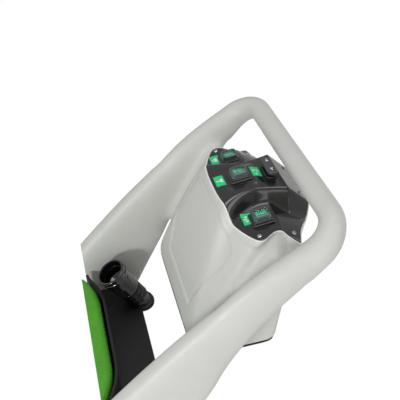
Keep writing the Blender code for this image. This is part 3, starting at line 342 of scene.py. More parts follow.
# Rotomoulded polyethylene, bright green and glossier than the body.
GREEN_TANK = finish_with("rotomoulded_polyethylene_green", {"IOR": 1.51}, ("4CA524", "5EBB2C"), 45.0,
                         (0.24, 0.34), ((1.2, 0.03, 3.0), (12.0, 0.10, 1.0)))
# Clear polycarbonate rocker, green lens: its faint emission is a painted glow that brightens it in place of
# the sparkle of light in it.
GREEN_LENS_PAINTED_GLOW = finish_with("tinted_polycarbonate_green", {"IOR": 1.58, "Emission Color": srgb("1FD09A"),
                                                        "Emission Strength": 0.34},
                         ("0C9A74", "19B88E"), 3.0, (0.10, 0.18), ((1.5, 0.03, 1.0),))
# Splash cap: smooth smoke-grey silicone around a thin, clear, faintly green window.
CAP_RUBBER = finish_with("moulded_silicone_smoked", {"IOR": 1.41, "Coat Weight": 0.9, "Coat Roughness": 0.08},
                         ("465053", "59646A"), 4.0, (0.12, 0.2), ((1.2, 0.02, 2.0),))
CLEAR_CAP = finish_with("silicone_rubber_clear", {"IOR": 1.41, "Transmission Weight": 1.0, "Alpha": 0.4},
                        ("9FE6D2", "B4F0DF"), 4.0, (0.02, 0.06), ((2.5, 0.05, 2.0),))
# Polyester label film: bright green under a satin laminate.
GREEN_LABEL = finish_with("polyester_film_green", {"IOR": 1.58}, ("0BD882", "16E38E"), 9.0, (0.28, 0.36),
                          ((0.9, 0.004, 2.0),))
# Screen printed ink: matt white.
WHITE_INK = finish_with("screen_ink_white", {"IOR": 1.5}, ("EDF3EF", "F7FAF8"), 3.0, (0.40, 0.50),
                        ((0.5, 0.004, 1.0),))
# Circuit board under green solder mask, and braided polyester sleeve around the wires.
BOARD_GREEN = finish_with("solder_mask_green", {"IOR": 1.5}, ("0F4A28", "14552F"), 5.0, (0.25, 0.35),
                          ((0.8, 0.02, 2.0),))
BRAID_BLACK = finish_with("braided_polyester_black", {"IOR": 1.55}, ("161617", "222224"), 1.5, (0.55, 0.70),
                          ((0.5, 0.08, 2.0),))
# Zinc plated steel: bright, cool, faintly cloudy; brass: warm, turned.
ZINC_STEEL = finish_with("zinc_plated_steel", {"Metallic": 1.0}, ("B4B8BC", "C9CCCF"), 3.0, (0.18, 0.30),
                         ((0.7, 0.006, 2.0),))
BRASS = finish_with("turned_brass", {"Metallic": 1.0}, ("C29B4B", "CDAA60"), 3.0, (0.20, 0.30),
                    ((0.5, 0.01, 2.0),))


# ---- panel and console surfaces ------------------------------------------------------------------
def hump_reach(y):
    """Half width of the ridge at its crown and width of its wall: both widen from the waist."""
    front = np.clip((y - WAIST_Y) / (PANEL_FRONT_Y - WAIST_Y), 0, 1)
    back = np.clip((WAIST_Y - y) / (WAIST_Y - RIDGE_Y), 0, 1)
    half = HUMP_WAIST + (HUMP_FRONT - HUMP_WAIST) * front ** 1.6 + (HUMP_BACK - HUMP_WAIST) * back ** 1.5
    return half, HUMP_WALL + HUMP_WALL_FRONT * front ** 2 + HUMP_WALL_BACK * back ** 2


def panel_height(x, y):
    """Two low lobes, a ridge eased up between them, a skirt behind and a flat front seat."""
    x = np.abs(x)
    fall = (FALL_Y - y + np.hypot(FALL_Y - y, FALL_BEND)) / 2
    floor = FLOOR_LEVEL + FLOOR_SLOPE * (SIDE_SWITCH[1] - np.maximum(y, FALL_Y)) - FALL_SLOPE * fall
    wing = ease((WING_START - y) / WING_LENGTH) * np.clip((x - WING_ROOT) / WING_WIDTH, 0, 1) ** 2
    floor = floor - WING_DROP * wing
    ahead = np.maximum(0, y - FRONT_SWITCH_Y) / (PANEL_FRONT_Y - FRONT_SWITCH_Y)
    crown = HUMP_LEVEL - NOSE_DROP * ahead ** 2 - SKIRT_SLOPE * np.maximum(0, RIDGE_Y - y)
    half, wall = hump_reach(y)
    share = ease((half + wall + WALL_TAIL - x) / (wall + WALL_TAIL)) ** WALL_POWER
    height = floor + np.maximum(crown - floor, 0) * share
    near = ease((FLANGE[0] / 2 + SEAT_REACH - x) / SEAT_BLEND)
    near = near * ease((FLANGE[1] / 2 + SEAT_REACH - np.abs(y - FRONT_SWITCH_Y)) / SEAT_BLEND)
    return height + (HUMP_LEVEL + FLOOR_SLOPE * (FRONT_SWITCH_Y - y) - height) * near


def outline(shrink=0.0, steps=8):
    """Right half of the panel's outline, drawn in towards the hub by a length."""
    edge = spline(PANEL_OUTLINE, steps)
    spoke = edge - PANEL_HUB
    reach = np.linalg.norm(spoke, axis=1, keepdims=True)
    return PANEL_HUB + spoke * (reach - shrink) / reach


def console_foot(count):
    """Right half of the console's lower outline: a superellipse."""
    turn = np.linspace(math.pi / 2, -math.pi / 2, count)
    power = 2 / CONSOLE_SQUARENESS
    x = CONSOLE_HALF_WIDTH * np.abs(np.cos(turn)) ** power
    y = np.sign(np.sin(turn)) * np.abs(np.sin(turn)) ** power
    x[[0, -1]] = 0
    return np.column_stack([x, (CONSOLE_FRONT + CONSOLE_BACK) / 2 + y * (CONSOLE_FRONT - CONSOLE_BACK) / 2])


def console_wall(depth, steps=8, grow=0.0):
    """Outline of the console's outer wall at a depth below the rim, as points."""
    top = outline(-BODY_RIM - grow, steps)
    foot = console_foot(len(top))
    rim = panel_height(*outline(-BODY_RIM, steps).T)
    t = np.clip(depth / (rim - CONSOLE_BOTTOM), 0, 1)[:, None]
    plan = top + (foot - top) * (t + CONSOLE_BULGE * t * (1 - t))
    return mirrored(np.column_stack([plan, rim - depth]))


def console_solid():
    """Closed solid inside the console's wall, its lid just under the panel."""
    steps = 6
    edge = outline(0, steps)
    rim = panel_height(*outline(-BODY_RIM, steps).T)
    lid = []
    for share in np.linspace(0.04, 1, 14):
        plan = PANEL_HUB + (edge - PANEL_HUB) * share
        sunk = LID_DEPTH + LID_DIP * ease((1 - share) / 0.15)
        lid.append(mirrored(np.column_stack([plan, panel_height(*plan.T) - sunk])))
    walls = [console_wall(LID_DEPTH + (rim - LID_DEPTH - CONSOLE_BOTTOM) * t, steps)
             for t in np.linspace(0, 1, 30)]
    return np.array(lid + walls)


# ---- grey body -----------------------------------------------------------------------------------
def loop_rows(sides=72):
    """Loop of the bar and both arms: superellipse sections carried along the centre line."""
    turn_x = ARM_SPACING / 2 - CORNER_RADIUS
    table = spline(ARM_STATIONS, 10)
    straight = np.linspace(0, turn_x, 16)[:-1, None]
    bend = np.linspace(0, math.pi / 2, 26)[:-1, None]
    sideways = np.vstack([np.repeat([-ALONG], len(straight), 0), np.sin(bend) * ACROSS - np.cos(bend) * ALONG,
                          np.repeat([ACROSS], len(table), 0)])
    centre = np.vstack([straight * ACROSS,
                        ACROSS * turn_x + ALONG * CORNER_RADIUS
                        + CORNER_RADIUS * sideways[len(straight):len(straight) + len(bend)],
                        ACROSS * ARM_SPACING / 2 + table[:, :1] * ALONG])
    bar = np.array([[BAR_RADIUS] * 3 + [2.0]])
    grown = bar + (table[:1, 1:] - bar) * (bend / (math.pi / 2)) ** CORNER_GROWTH
    size = np.vstack([np.repeat(bar, len(straight), 0), grown, table[:, 1:]])
    up, down, half, square = (size[:, k, None] for k in range(4))
    angle = np.linspace(0, 2 * math.pi, sides, endpoint=False)[None]
    c = np.sign(np.cos(angle)) * np.abs(np.cos(angle)) ** (2 / square) * half
    s = np.sign(np.sin(angle)) * np.abs(np.sin(angle)) ** (2 / square) * (up + down) / 2 + (up - down) / 2
    right = centre[:, None] + c[..., None] * sideways[:, None] + s[..., None] * ABOVE
    left = right[:0:-1] * [-1, 1, 1]
    return np.vstack([left, right])


def web_rows(side):
    """Web beside the console: its side view turns evenly from the inner to the outer outline."""
    inner, outer = (spline(np.vstack([p, p[:1]]), 4)[:-1] for p in (np.array(WEB_INNER), np.array(WEB_OUTER)))
    t = np.linspace(0, 1, 14)[:, None, None]
    profile = inner[None] + (outer - inner)[None] * ease(t)
    x = np.broadcast_to(side * (WEB_START + (WEB_END - WEB_START) * t), profile.shape[:2] + (1,))
    return np.concatenate([x, profile], axis=2)


def relax(points, pairs, weight, rounds):
    """Moves each point towards the mean of its neighbours by its weight, over and over."""
    count = np.bincount(pairs.ravel(), minlength=len(points))[:, None]
    for _ in range(rounds):
        total = np.zeros_like(points)
        for axis in range(3):
            total[:, axis] = (np.bincount(pairs[:, 0], points[pairs[:, 1], axis], len(points))
                              + np.bincount(pairs[:, 1], points[pairs[:, 0], axis], len(points)))
        points += weight[:, None] * (total / np.maximum(count, 1) - points)
    return points


def inside_field(x, z):
    """Distance inside the six-sided field on the console's front, negative outside."""
    right = np.array(FIELD, float)
    corners = np.vstack([right, right[::-1] * [-1, 1]])
    ahead = np.roll(corners, -1, axis=0)
    edge = ahead - corners
    edge /= np.linalg.norm(edge, axis=1, keepdims=True)
    offset = np.stack([x, z], -1)[:, None] - corners[None]
    return (edge[None, :, 1] * offset[..., 0] - edge[None, :, 0] * offset[..., 1]).min(axis=1)


def fused_shells():
    """Mesh of the loop, the console and both webs, fused into one skin."""
    shells = [surface("loop_shell", loop_rows(), body=None),
              surface("console_shell", console_solid(), body=None),
              surface("web_shell_right", web_rows(1), body=None),
              surface("web_shell_left", web_rows(-1), body=None)]
    moulding = join("moulded_body", shells)
    fuse = moulding.modifiers.new("fuse", "REMESH")
    fuse.mode = "VOXEL"
    fuse.voxel_size = VOXEL / 1000
    fused = bpy.data.meshes.new_from_object(moulding.evaluated_get(bpy.context.evaluated_depsgraph_get()))
    bpy.data.objects.remove(moulding)
    return fused


def points_and_pairs(mesh):
    """Vertices in bar coordinates, and the pairs of vertices that edges join."""
    points = np.zeros(len(mesh.vertices) * 3)
    mesh.vertices.foreach_get("co", points)
    pairs = np.zeros(len(mesh.edges) * 2, np.int64)
    mesh.edges.foreach_get("vertices", pairs)
    return points.reshape(-1, 3) * 1000 - DATUM, pairs.reshape(-1, 2)


def near_join(points):
    """Share from 0 to 1 by which a point belongs to the joins of webs and arms beside the console."""
    x, y, z = np.abs(points[:, 0]), points[:, 1], points[:, 2]
    rim = panel_height(np.minimum(x, PANEL_LIMIT_X), np.clip(y, *PANEL_LIMIT_Y))
    beside = past(x, JOIN_SIDE) * past(y, JOIN_BACK) * short_of(y, JOIN_FRONT)
    below = ease((rim - JOIN_BELOW_RIM[0] - z) / JOIN_BELOW_RIM[1] + past(x, JOIN_WEB))
    arm = -y * math.tan(ARM_SLOPE)
    return beside * below * short_of(z - arm, JOIN_ABOVE_ARM) * short_of(arm - z, JOIN_BELOW_ARM)


def sunk_field(mesh, points):
    """Points with the six-sided field sunk along its normals, eased in from the edge."""
    normal = np.zeros(len(points) * 3)
    mesh.vertices.foreach_get("normal", normal)
    normal = normal.reshape(-1, 3)
    front = (normal[:, 1] > 0.5) & (points[:, 1] > FIELD_ZONE[0]) & (points[:, 1] < FIELD_ZONE[1])
    depth = FIELD_DEPTH * ease(inside_field(points[:, 0], points[:, 2]) / FIELD_EDGE) * front
    return points - normal * depth[:, None]


def cut_flat(mesh):
    """Cuts the mesh at the base face and at the front end of the side plates, and closes it there."""
    trim = bmesh.new()
    trim.from_mesh(mesh)
    front_end = (0, (FRONT_END - BAR_SETBACK) / 1000, 0)
    for point, outward in (((0, 0, 0), (0, 0, -1)), (front_end, (0, 1, 0))):
        cut = bmesh.ops.bisect_plane(trim, geom=trim.verts[:] + trim.edges[:] + trim.faces[:],
                                     plane_co=point, plane_no=outward, clear_outer=True)
        rim_edges = [g for g in cut["geom_cut"] if isinstance(g, bmesh.types.BMEdge)]
        bmesh.ops.triangle_fill(trim, use_beauty=True, edges=rim_edges)
    bmesh.ops.recalc_face_normals(trim, faces=trim.faces)
    trim.to_mesh(mesh)
    trim.free()


def make_body():
    """One moulding: fused shells, relaxed so that every join is a soft blend."""
    mesh = fused_shells()
    points, pairs = points_and_pairs(mesh)
    points = relax(points, pairs, np.full(len(points), 0.5), 7)
    points = relax(points, pairs, 0.5 * near_join(points), 60)
    mesh.vertices.foreach_set("co", to_world(points).ravel())
    mesh.update()
    mesh.vertices.foreach_set("co", to_world(sunk_field(mesh, points)).ravel())
    cut_flat(mesh)
    body = finish_piece("moulded_body", mesh, GREY_BODY, "frame", 50)
    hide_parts("handle_body")


def make_rim():
    """Rounded edge of the body around the panel: a small profile carried along the outline."""
    top = []
    for offset, drop in ((0.35, 5.0), (0.35, 1.0), (0.6, 0.35), (1.0, 0.05), (1.5, 0.0), (2.0, 0.12),
                         (2.4, 0.5)):
        plan = outline(-offset)
        top.append(mirrored(np.column_stack([plan, panel_height(*outline(-BODY_RIM / 2).T) - drop])))
    side = [console_wall(depth, 8, grow)
            for depth, grow in ((1.2, 0.12), (2.5, 0.14), (4.5, 0.14), (7.0, 0.1), (11.0, -0.9))]
    # The rim's pale finish is a painted highlight along the edge round the panel.
    for name, rows, material in (("panel_rim", top + side[:1], GREY_EDGE_PAINTED_HIGHLIGHT), ("rim_skirt", side, GREY_BODY)):
        surface(name, np.array(rows), ends=(False, False), material=material, sharp=60)


# ---- switch panel --------------------------------------------------------------------------------
def make_panel():
    """Formed sheet: the height formula over rings drawn in from the outline, edge rolled over."""
    rows = []
    for share in np.concatenate([np.linspace(0.012, 0.2, 10), np.linspace(0.215, 0.975, 74)]):
        plan = PANEL_HUB + (outline(0) - PANEL_HUB) * share
        rows.append(mirrored(np.column_stack([plan, panel_height(*plan.T)])))
    for shrink, drop in ((1.4, 0.0), (0.9, 0.06), (0.5, 0.2), (0.2, 0.5), (0.05, 1.0), (0.05, 2.9)):
        plan = outline(shrink)
        rows.append(mirrored(np.column_stack([plan, panel_height(*plan.T) - drop])))
    for share in np.linspace(0.98, 0.02, 24):
        plan = PANEL_HUB + (outline(0) - PANEL_HUB) * share
        rows.append(mirrored(np.column_stack([plan, panel_height(*plan.T) - PANEL_THICKNESS])))
    panel = surface("formed_panel", np.array(rows), material=BLACK_PANEL, sharp=60)
    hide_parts("control_panel")


def surface_frame(x, y):
    """Local to bar coordinates on the panel: third axis along its normal."""
    rise = (panel_height(x, y + 1.0) - panel_height(x, y - 1.0)) / 2
    lean = (panel_height(x + 1.0, y) - panel_height(x - 1.0, y)) / 2
    normal = np.array([-lean, -rise, 1.0])
    normal /= np.linalg.norm(normal)
    side = np.array([1.0, 0, lean]) / math.hypot(1, lean)
    return np.array([side, np.cross(normal, side), normal]), np.array([x, y, float(panel_height(x, y))])


def seat_frame(x, y):
    """Local to bar coordinates on a lit switch's seat, leaning with the panel."""
    c, s = math.cos(math.atan(FLOOR_SLOPE)), math.sin(math.atan(FLOOR_SLOPE))
    return np.array([[1, 0, 0], [0, c, -s], [0, s, c]]), np.array([x, y, float(panel_height(x, y))])


def put(points, place):
    """Local points through a frame given as three axes and an origin."""
    axes, origin = place
    return np.asarray(points) @ axes + origin


def round_rect(size_x, size_y, radius, corner=8):
    """Rectangle with round corners, as a closed line of points."""
    a = np.linspace(0, math.pi / 2, corner + 1)
    rows = []
    for k, (cx, cy) in enumerate(((1, 1), (-1, 1), (-1, -1), (1, -1))):
        rows.append(np.column_stack([cx * (size_x / 2 - radius) + radius * np.cos(a + k * math.pi / 2),
                                     cy * (size_y / 2 - radius) + radius * np.sin(a + k * math.pi / 2)]))
    return np.vstack(rows)


def layered(layers, lift=None):
    """Rounded rectangles stacked by (size x, size y, radius, height); lift adds a height field."""
    rows = []
    for size_x, size_y, radius, z in layers:
        ring = round_rect(size_x, size_y, max(radius, 0.05))
        height = np.full(len(ring), z) if lift is None else z + lift(ring[:, 0], ring[:, 1], z)
        rows.append(np.column_stack([ring, height]))
    return np.array(rows)


def filleted(size_x, size_y, radius, low, high, fillet, steps=4):
    """Layers of a slab side that rolls over into its top by a quarter circle."""
    layers = [(size_x, size_y, radius, low)]
    for a in np.linspace(0, math.pi / 2, steps + 1):
        inset = 2 * fillet * (1 - math.cos(a))
        layers.append((size_x - inset, size_y - inset, radius - inset / 2, high - fillet * (1 - math.sin(a))))
    return layers


# ---- switches ------------------------------------------------------------------------------------
def make_switch_housing(name, place):
    """Stepped housing with a slot for the rocker."""
    wide, deep, thick = FLANGE
    slot_x, slot_y = ROCKER[0] + 2 * ROCKER_GAP, ROCKER[1] + 2 * ROCKER_GAP
    layers = [(wide, deep, 3.0, GAP)] + filleted(wide, deep, 3.0, GAP, GAP + thick, 1.1)
    layers += [(STEP_X + 0.8, STEP_Y + 0.8, 3.2, GAP + thick), (STEP_X, STEP_Y, 3.0, GAP + thick + 0.4)]
    layers += filleted(STEP_X, STEP_Y, 3.0, GAP + thick + 1.0, SWITCH_TOP, 1.0)
    layers += [(slot_x + 1.0, slot_y + 1.0, 1.5, SWITCH_TOP), (slot_x, slot_y, 1.2, SWITCH_TOP - 0.5),
               (slot_x, slot_y, 1.2, SWITCH_TOP - 9.0)]
    housing = surface(f"{name}_housing", put(layered(layers), place), material=BLACK_NYLON)
    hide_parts(f"{name}_switch_housing")


def make_rocker(name, place):
    """Tilted lit rocker with a dished face and a grip bar at either end."""
    wide, deep = ROCKER
    turn = np.array([[1, 0, 0], [0, math.cos(ROCKER_TILT), math.sin(ROCKER_TILT)],
                     [0, -math.sin(ROCKER_TILT), math.cos(ROCKER_TILT)]])
    place = (turn @ place[0], place[1] + np.array([0, 0, SWITCH_TOP - ROCKER_PIVOT_DEPTH]) @ place[0])

    def dished(_, py, z):
        """Face dips 0.9 mm in the middle and falls at its ends; the sides stay straight."""
        return (z > 4.0) * (0.9 * np.sin(np.clip(np.abs(py) / (deep / 2), 0, 1) * math.pi * 0.75) - 0.9)

    shape = [(wide, deep - 4, 0.8, -4.5)] + filleted(wide, deep, 1.2, 0.0, ROCKER_FACE, 0.9)
    shape += [(wide - 1.8 - 2 * k, deep - 1.8 - 2 * k * 1.7, 0.6, ROCKER_FACE) for k in (1, 2, 3, 4, 5)]
    # The lens finish carries a painted glow.
    pieces = [surface(f"{name}_lens", put(layered(shape, dished), place), material=GREEN_LENS_PAINTED_GLOW,
                      body=f"{name}_rocker")]
    for k in (-1, 1):
        ring = filleted(8.0, 1.6, 0.5, ROCKER_FACE - 1.2, ROCKER_FACE + 0.35, 0.3, 3)
        bar = layered(ring) + [0, k * 5.6, 0]
        pieces.append(surface(f"{name}_grip_{k}", put(bar, place), material=GREEN_LENS_PAINTED_GLOW,
                              body=f"{name}_rocker"))
    lens = join(f"{name}_lens", pieces)
    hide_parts(f"{name}_rocker")


def make_cap(name, place):
    """Splash cap: a dark hood with rolled edges and a thin clear window in its top."""
    wide, deep = STEP_X - 2 * CAP_IN, STEP_Y - 2 * CAP_IN
    foot = SWITCH_TOP + GAP
    crown = foot + CAP_HEIGHT
    outer = [(wide, deep, 5.0, foot), (wide, deep, 5.0, foot + 1.2),
             (wide - 1.0, deep - 1.0, 5.0, foot + 1.8)]
    outer += filleted(wide - 1.0, deep - 1.0, 6.5, foot + 4.0, crown, 3.2, 7)
    inner = [(a - 2 * CAP_WALL, b - 2 * CAP_WALL, max(r - CAP_WALL, 0.3), min(z, crown - CAP_WALL))
             for a, b, r, z in outer][::-1]
    light_x, light_y = wide - CAP_FRAME, deep - CAP_FRAME
    ring = outer + [(light_x, light_y, 2.8, crown), (light_x - 0.6, light_y - 0.6, 2.5, crown - 0.4)]
    ring += [(light_x - 0.6, light_y - 0.6, 2.5, crown - CAP_WALL)] + inner
    hood = surface(f"{name}_cap_frame", put(layered(ring + ring[:1]), place), ends=(False, False),
                   material=CAP_RUBBER)
    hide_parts(f"{name}_clear_cap")
    pane = [(light_x - 0.8, light_y - 0.8, 2.4, z) for z in (crown - CAP_WALL, crown - 0.5)]
    pane += [(light_x - 0.8 - k, light_y - 0.8 - k, 2.0, crown - 0.5 + 0.4 * math.sin(k / 6))
             for k in (1, 3, 6, 9)]
    window = surface(f"{name}_cap_window", put(layered(pane), place), material=CLEAR_CAP)


def direction_place():
    """Upright frame on the ridge where the direction switch sits."""
    return np.eye(3), np.array([0, REAR_SWITCH_Y, float(panel_height(0.0, REAR_SWITCH_Y))])


def make_direction_housing():
    """Oval bezel with a slot for the paddle's stem."""
    wide, deep, thick = REAR_FLANGE
    top = GAP + thick
    slot_x, slot_y = PADDLE_SLOT
    layers = [(wide, deep, deep / 2 - 1, GAP)] + filleted(wide, deep, deep / 2 - 1, GAP, top, 1.0)
    layers += [(wide - 4, deep - 4, deep / 2 - 3, top), (wide - 5, deep - 5, deep / 2 - 3.5, top - 0.6),
               (slot_x, slot_y, 1.0, top - 0.6), (slot_x, slot_y, 1.0, top - 7.0)]
    bezel = surface("direction_bezel", put(layered(layers), direction_place()), material=BLACK_NYLON)
    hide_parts("rear_switch_housing")


def make_paddle():
    """Long rounded paddle on a stem, with a white mark at either end."""
    place = direction_place()
    long, broad, thick = PADDLE
    low = GAP + REAR_FLANGE[2] + PADDLE_RISE
    high = low + thick
    radius = broad / 2 - 0.5

    def saddle(px, py, z):
        """Top dips 1 mm in the middle of its length and crowns across its width."""
        return (z > high - 1.9) * (-1.0 * (1 - (np.abs(px) / (long / 2)) ** 1.6)
                                   - 0.25 * (py / (broad / 2)) ** 2)

    shape = [(16.0, 9.0, 0.8, low - 9.0), (16.0, 9.0, 0.8, low), (long - 3, broad - 3, radius - 1.5, low),
             (long - 0.8, broad - 0.8, radius - 0.4, low + 0.4)]
    shape += filleted(long, broad, radius, low + 1.5, high, 1.6, 5)
    shape += [(long - 3.2 - 2 * k * 3.0, broad - 3.2 - 2 * k * 0.95, radius - 1.6 - 0.9 * k, high)
              for k in (0.7, 1.6, 2.6, 3.6, 4.6)]
    paddle = surface("paddle_blade", put(layered(shape, saddle), place), material=PADDLE_NYLON,
                     body="direction_paddle")
    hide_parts("direction_paddle")
    marks = []
    crest = high - 1.0 * (1 - (13.5 / (long / 2)) ** 1.6)
    for k in (-1, 1):
        for dx, dy, sx, sy in ((14.0, 0, 6.0, 1.5), (10.6, 0, 1.4, 5.6)):
            plate = layered(filleted(sx, sy, 0.5, -0.2, 0.16, 0.08, 2)) + [k * dx, dy, crest]
            marks.append(surface(f"mark_{k}_{dx}", put(plate, place), material=WHITE_INK,
                                 body="direction_paddle"))
    join("paddle_marks", marks)


# ---- labels --------------------------------------------------------------------------------------
def patch(name, plan, lift, material):
    """Thin film over the panel: a plan grid raised off the height formula, with an edge going down."""
    grid = np.dstack([plan, panel_height(plan[..., 0], plan[..., 1])[..., None] + lift])
    edge = np.concatenate([grid[:1], grid, grid[-1:]])
    edge[[0, -1], :, 2] -= lift
    sides = np.concatenate([edge[:, :1], edge, edge[:, -1:]], axis=1)
    sides[:, [0, -1], 2] -= lift
    return surface(name, sides, wrap=False, ends=(False, False), material=material, sharp=60)


def block(cx, cy, size_x, size_y, turn=0.0, cells=8, taper=1.0):
    """Plan grid of a turned rectangle whose far end is tapered to a share of its width."""
    u, v = np.meshgrid(np.linspace(-0.5, 0.5, cells), np.linspace(-0.5, 0.5, cells), indexing="ij")
    width = 1 + (taper - 1) * (v + 0.5)
    px, py = u * size_x * width, v * size_y
    c, s = math.cos(turn), math.sin(turn)
    return np.dstack([cx + c * px - s * py, cy + s * px + c * py])


def drop(cx, cy, radius, cells=14):
    """Plan grid of a water drop: a disc drawn out to a point at its top."""
    r, a = np.meshgrid(np.linspace(0.02, 1, 4), np.linspace(0, 2 * math.pi, cells * 2), indexing="ij")
    stretch = 1 + 0.9 * np.clip(np.sin(a), 0, 1) ** 6
    return np.dstack([cx + r * radius * np.cos(a), cy + r * radius * np.sin(a) * stretch])


def make_labels():
    """Four bright films ahead of the switches, each with a plain white sign."""
    for name, x, y in LABELS:
        film = patch(f"label_{name}", block(x, y, *LABEL, cells=14), 0.22, GREEN_LABEL)
        if name == "right":      # power: a bar over a block
            shapes = [block(x, y - 1, 11, 6), block(x, y + 4, 3.4, 2.0)]
        elif name == "front":    # brush: a handle and a flared head
            shapes = [block(x, y + 3.0, 1.6, 6), block(x, y - 2.6, 12, 5.4, 0, 8, 0.35)]
        elif name == "rear":     # two ways: an arrow and a bracket
            shapes = [block(x + 4, y, 1.6, 9), block(x + 1.2, y + 3.8, 4.6, 1.5),
                      block(x + 1.2, y - 3.8, 4.6, 1.5), block(x - 4.6, y, 4.6, 1.6),
                      block(x - 7.8, y, 5.2, 3.4, math.pi / 2, 8, 0.1)]
        else:                    # water: three drops over a line
            shapes = [drop(x - 5, y + 0.6, 2.0), drop(x, y + 2.2, 2.0), drop(x + 5, y + 0.6, 2.0),
                      block(x, y - 4.6, 15, 1.4)]
        signs = [patch(f"sign_{name}_{k}", s, 0.32, WHITE_INK) for k, s in enumerate(shapes)]
        join(f"sign_{name}", signs)


# ---- screws --------------------------------------------------------------------------------------
def make_screw(name, node, place):
    """Pan head: a dome with a cross recess pressed into it, on a short neck."""
    radius = np.concatenate([np.linspace(0.15, HEAD_RADIUS - 0.3, 22),
                             [HEAD_RADIUS - 0.1, HEAD_RADIUS, HEAD_RADIUS, NECK_RADIUS, NECK_RADIUS]])
    angle = np.linspace(0, 2 * math.pi, 64, endpoint=False)
    r, a = np.meshgrid(radius, angle, indexing="ij")
    x, y = r * np.cos(a), r * np.sin(a)
    dome = GAP + HEAD_HEIGHT * np.sqrt(np.clip(1 - (r / DOME_RADIUS) ** 2, 0, 1)) ** 0.8
    cross = ease((CROSS_HALF_WIDTH - np.minimum(np.abs(x), np.abs(y))) / 0.3) * ease((CROSS_REACH - r) / 0.5)
    z = dome - CROSS_DEPTH * cross
    z[-4:] = np.array([0.5, GAP, GAP, -NECK_DEPTH])[:, None]
    grid = np.dstack([x, y, z])
    screw = surface(name, put(grid, place), material=ZINC_STEEL, sharp=50)
    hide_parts(node)


def make_screws():
    """Panel screws on the panel's surface and cover screws under the console."""
    for index, (x, y) in enumerate(PANEL_SCREWS, 1):
        for side, k in (("r", 1), ("l", -1)):
            make_screw(f"panhead_{side}{index}", f"panel_screw_{side}{index}", surface_frame(k * x, y))
    under = np.array([[1.0, 0, 0], [0, -1, 0], [0, 0, -1]])
    for index, (x, y) in enumerate(COVER_SCREWS, 1):
        for side, k in (("r", 1), ("l", -1)):
            make_screw(f"cover_panhead_{side}{index}", f"cover_screw_{side}{index}",
                       (under, np.array([k * x, y, CONSOLE_BOTTOM - GAP - COVER_THICKNESS])))


# ---- hose, deck and tank cover -------------------------------------------------------------------
def hose_place():
    """Hose axes and origin: third axis runs from the mouth down the hose."""
    a = math.pi / 2 + HOSE_LEAN
    down = np.array([0, -math.sin(a), math.cos(a)])
    return np.array([ACROSS, np.cross(down, ACROSS), down]), HOSE_MOUTH


def turned(name, profile, material, sides=96, relief=None):
    """Closed profile of (radius, distance) turned about the hose's axis; relief changes the radius."""
    profile = np.array(profile, float)
    angle = np.linspace(0, 2 * math.pi, sides, endpoint=False)
    r, a = np.meshgrid(profile[:, 0], angle, indexing="ij")
    z = np.broadcast_to(profile[:, 1:], r.shape)
    if relief is not None:
        r = relief(r, a, z)
    grid = np.dstack([r * np.cos(a), r * np.sin(a), z])
    return surface(name, put(np.concatenate([grid, grid[:1]]), hose_place()), ends=(False, False),
                   material=material, sharp=40)


def make_hose():
    """Ribbed hose: a wave along its length; cuff: rolled lip, ring, smooth sleeve and grip keys."""
    z = np.linspace(HOSE_START, HOSE_STOP, 180)
    wave = np.sin((z - HOSE_START) / RIB_PITCH * 2 * math.pi)
    ribs = RIB_MIDDLE + RIB_RISE * np.tanh(RIB_SQUARENESS * wave)
    profile = [(HOSE_BORE_RADIUS, HOSE_STOP), (HOSE_BORE_RADIUS, HOSE_START)] + list(zip(ribs, z))
    hose = turned("ribbed_hose_wall", profile, HOSE_BLACK)
    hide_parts("ribbed_hose")

    lip = [(29.0 + 2.0 * math.sin(t), 2.0 - 2.0 * math.cos(t)) for t in np.linspace(0, math.pi / 2, 7)]
    lip += [(31.0, 5.0), (30.7, 5.9), (30.0, 6.6), (29.2, 7.2), (29.0, 8.0), (29.0, 10.4), (29.3, 11.0),
            (30.1, 11.5), (30.5, 12.2), (30.5, 15.2), (30.1, 16.2), (29.2, 17.2), (28.6, 18.2)]
    sleeve = [(28.5, 20.0), (28.45, 23.4), (28.42, 24.6), (28.4, 26.0), (28.3, 30.0), (28.2, 34.0),
              (28.15, 38.0), (28.1, 39.4), (28.1, 40.6), (28.0, 50.0), (28.0, 60.0), (27.6, 62.4),
              (26.6, 63.8), (25.6, 64.0)]
    inside = [(22.8, 64.0), (22.8, 45.7), (20.0, 45.7), (20.0, 40.0), (26.0, 36.0), (26.0, 1.6),
              (26.5, 0.5), (27.6, 0.0)]

    def keyed(r, a, z):
        """Six low keys around the sleeve."""
        key = ease((np.cos(6 * a) - 0.75) / 0.1) * ease(z - KEY_START) * ease(KEY_END - z)
        return r + KEY_HEIGHT * key * (r > 27.5)

    cuff = turned("moulded_cuff", lip + sleeve + inside, HOSE_BLACK, 120, keyed)
    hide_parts("hose_cuff")


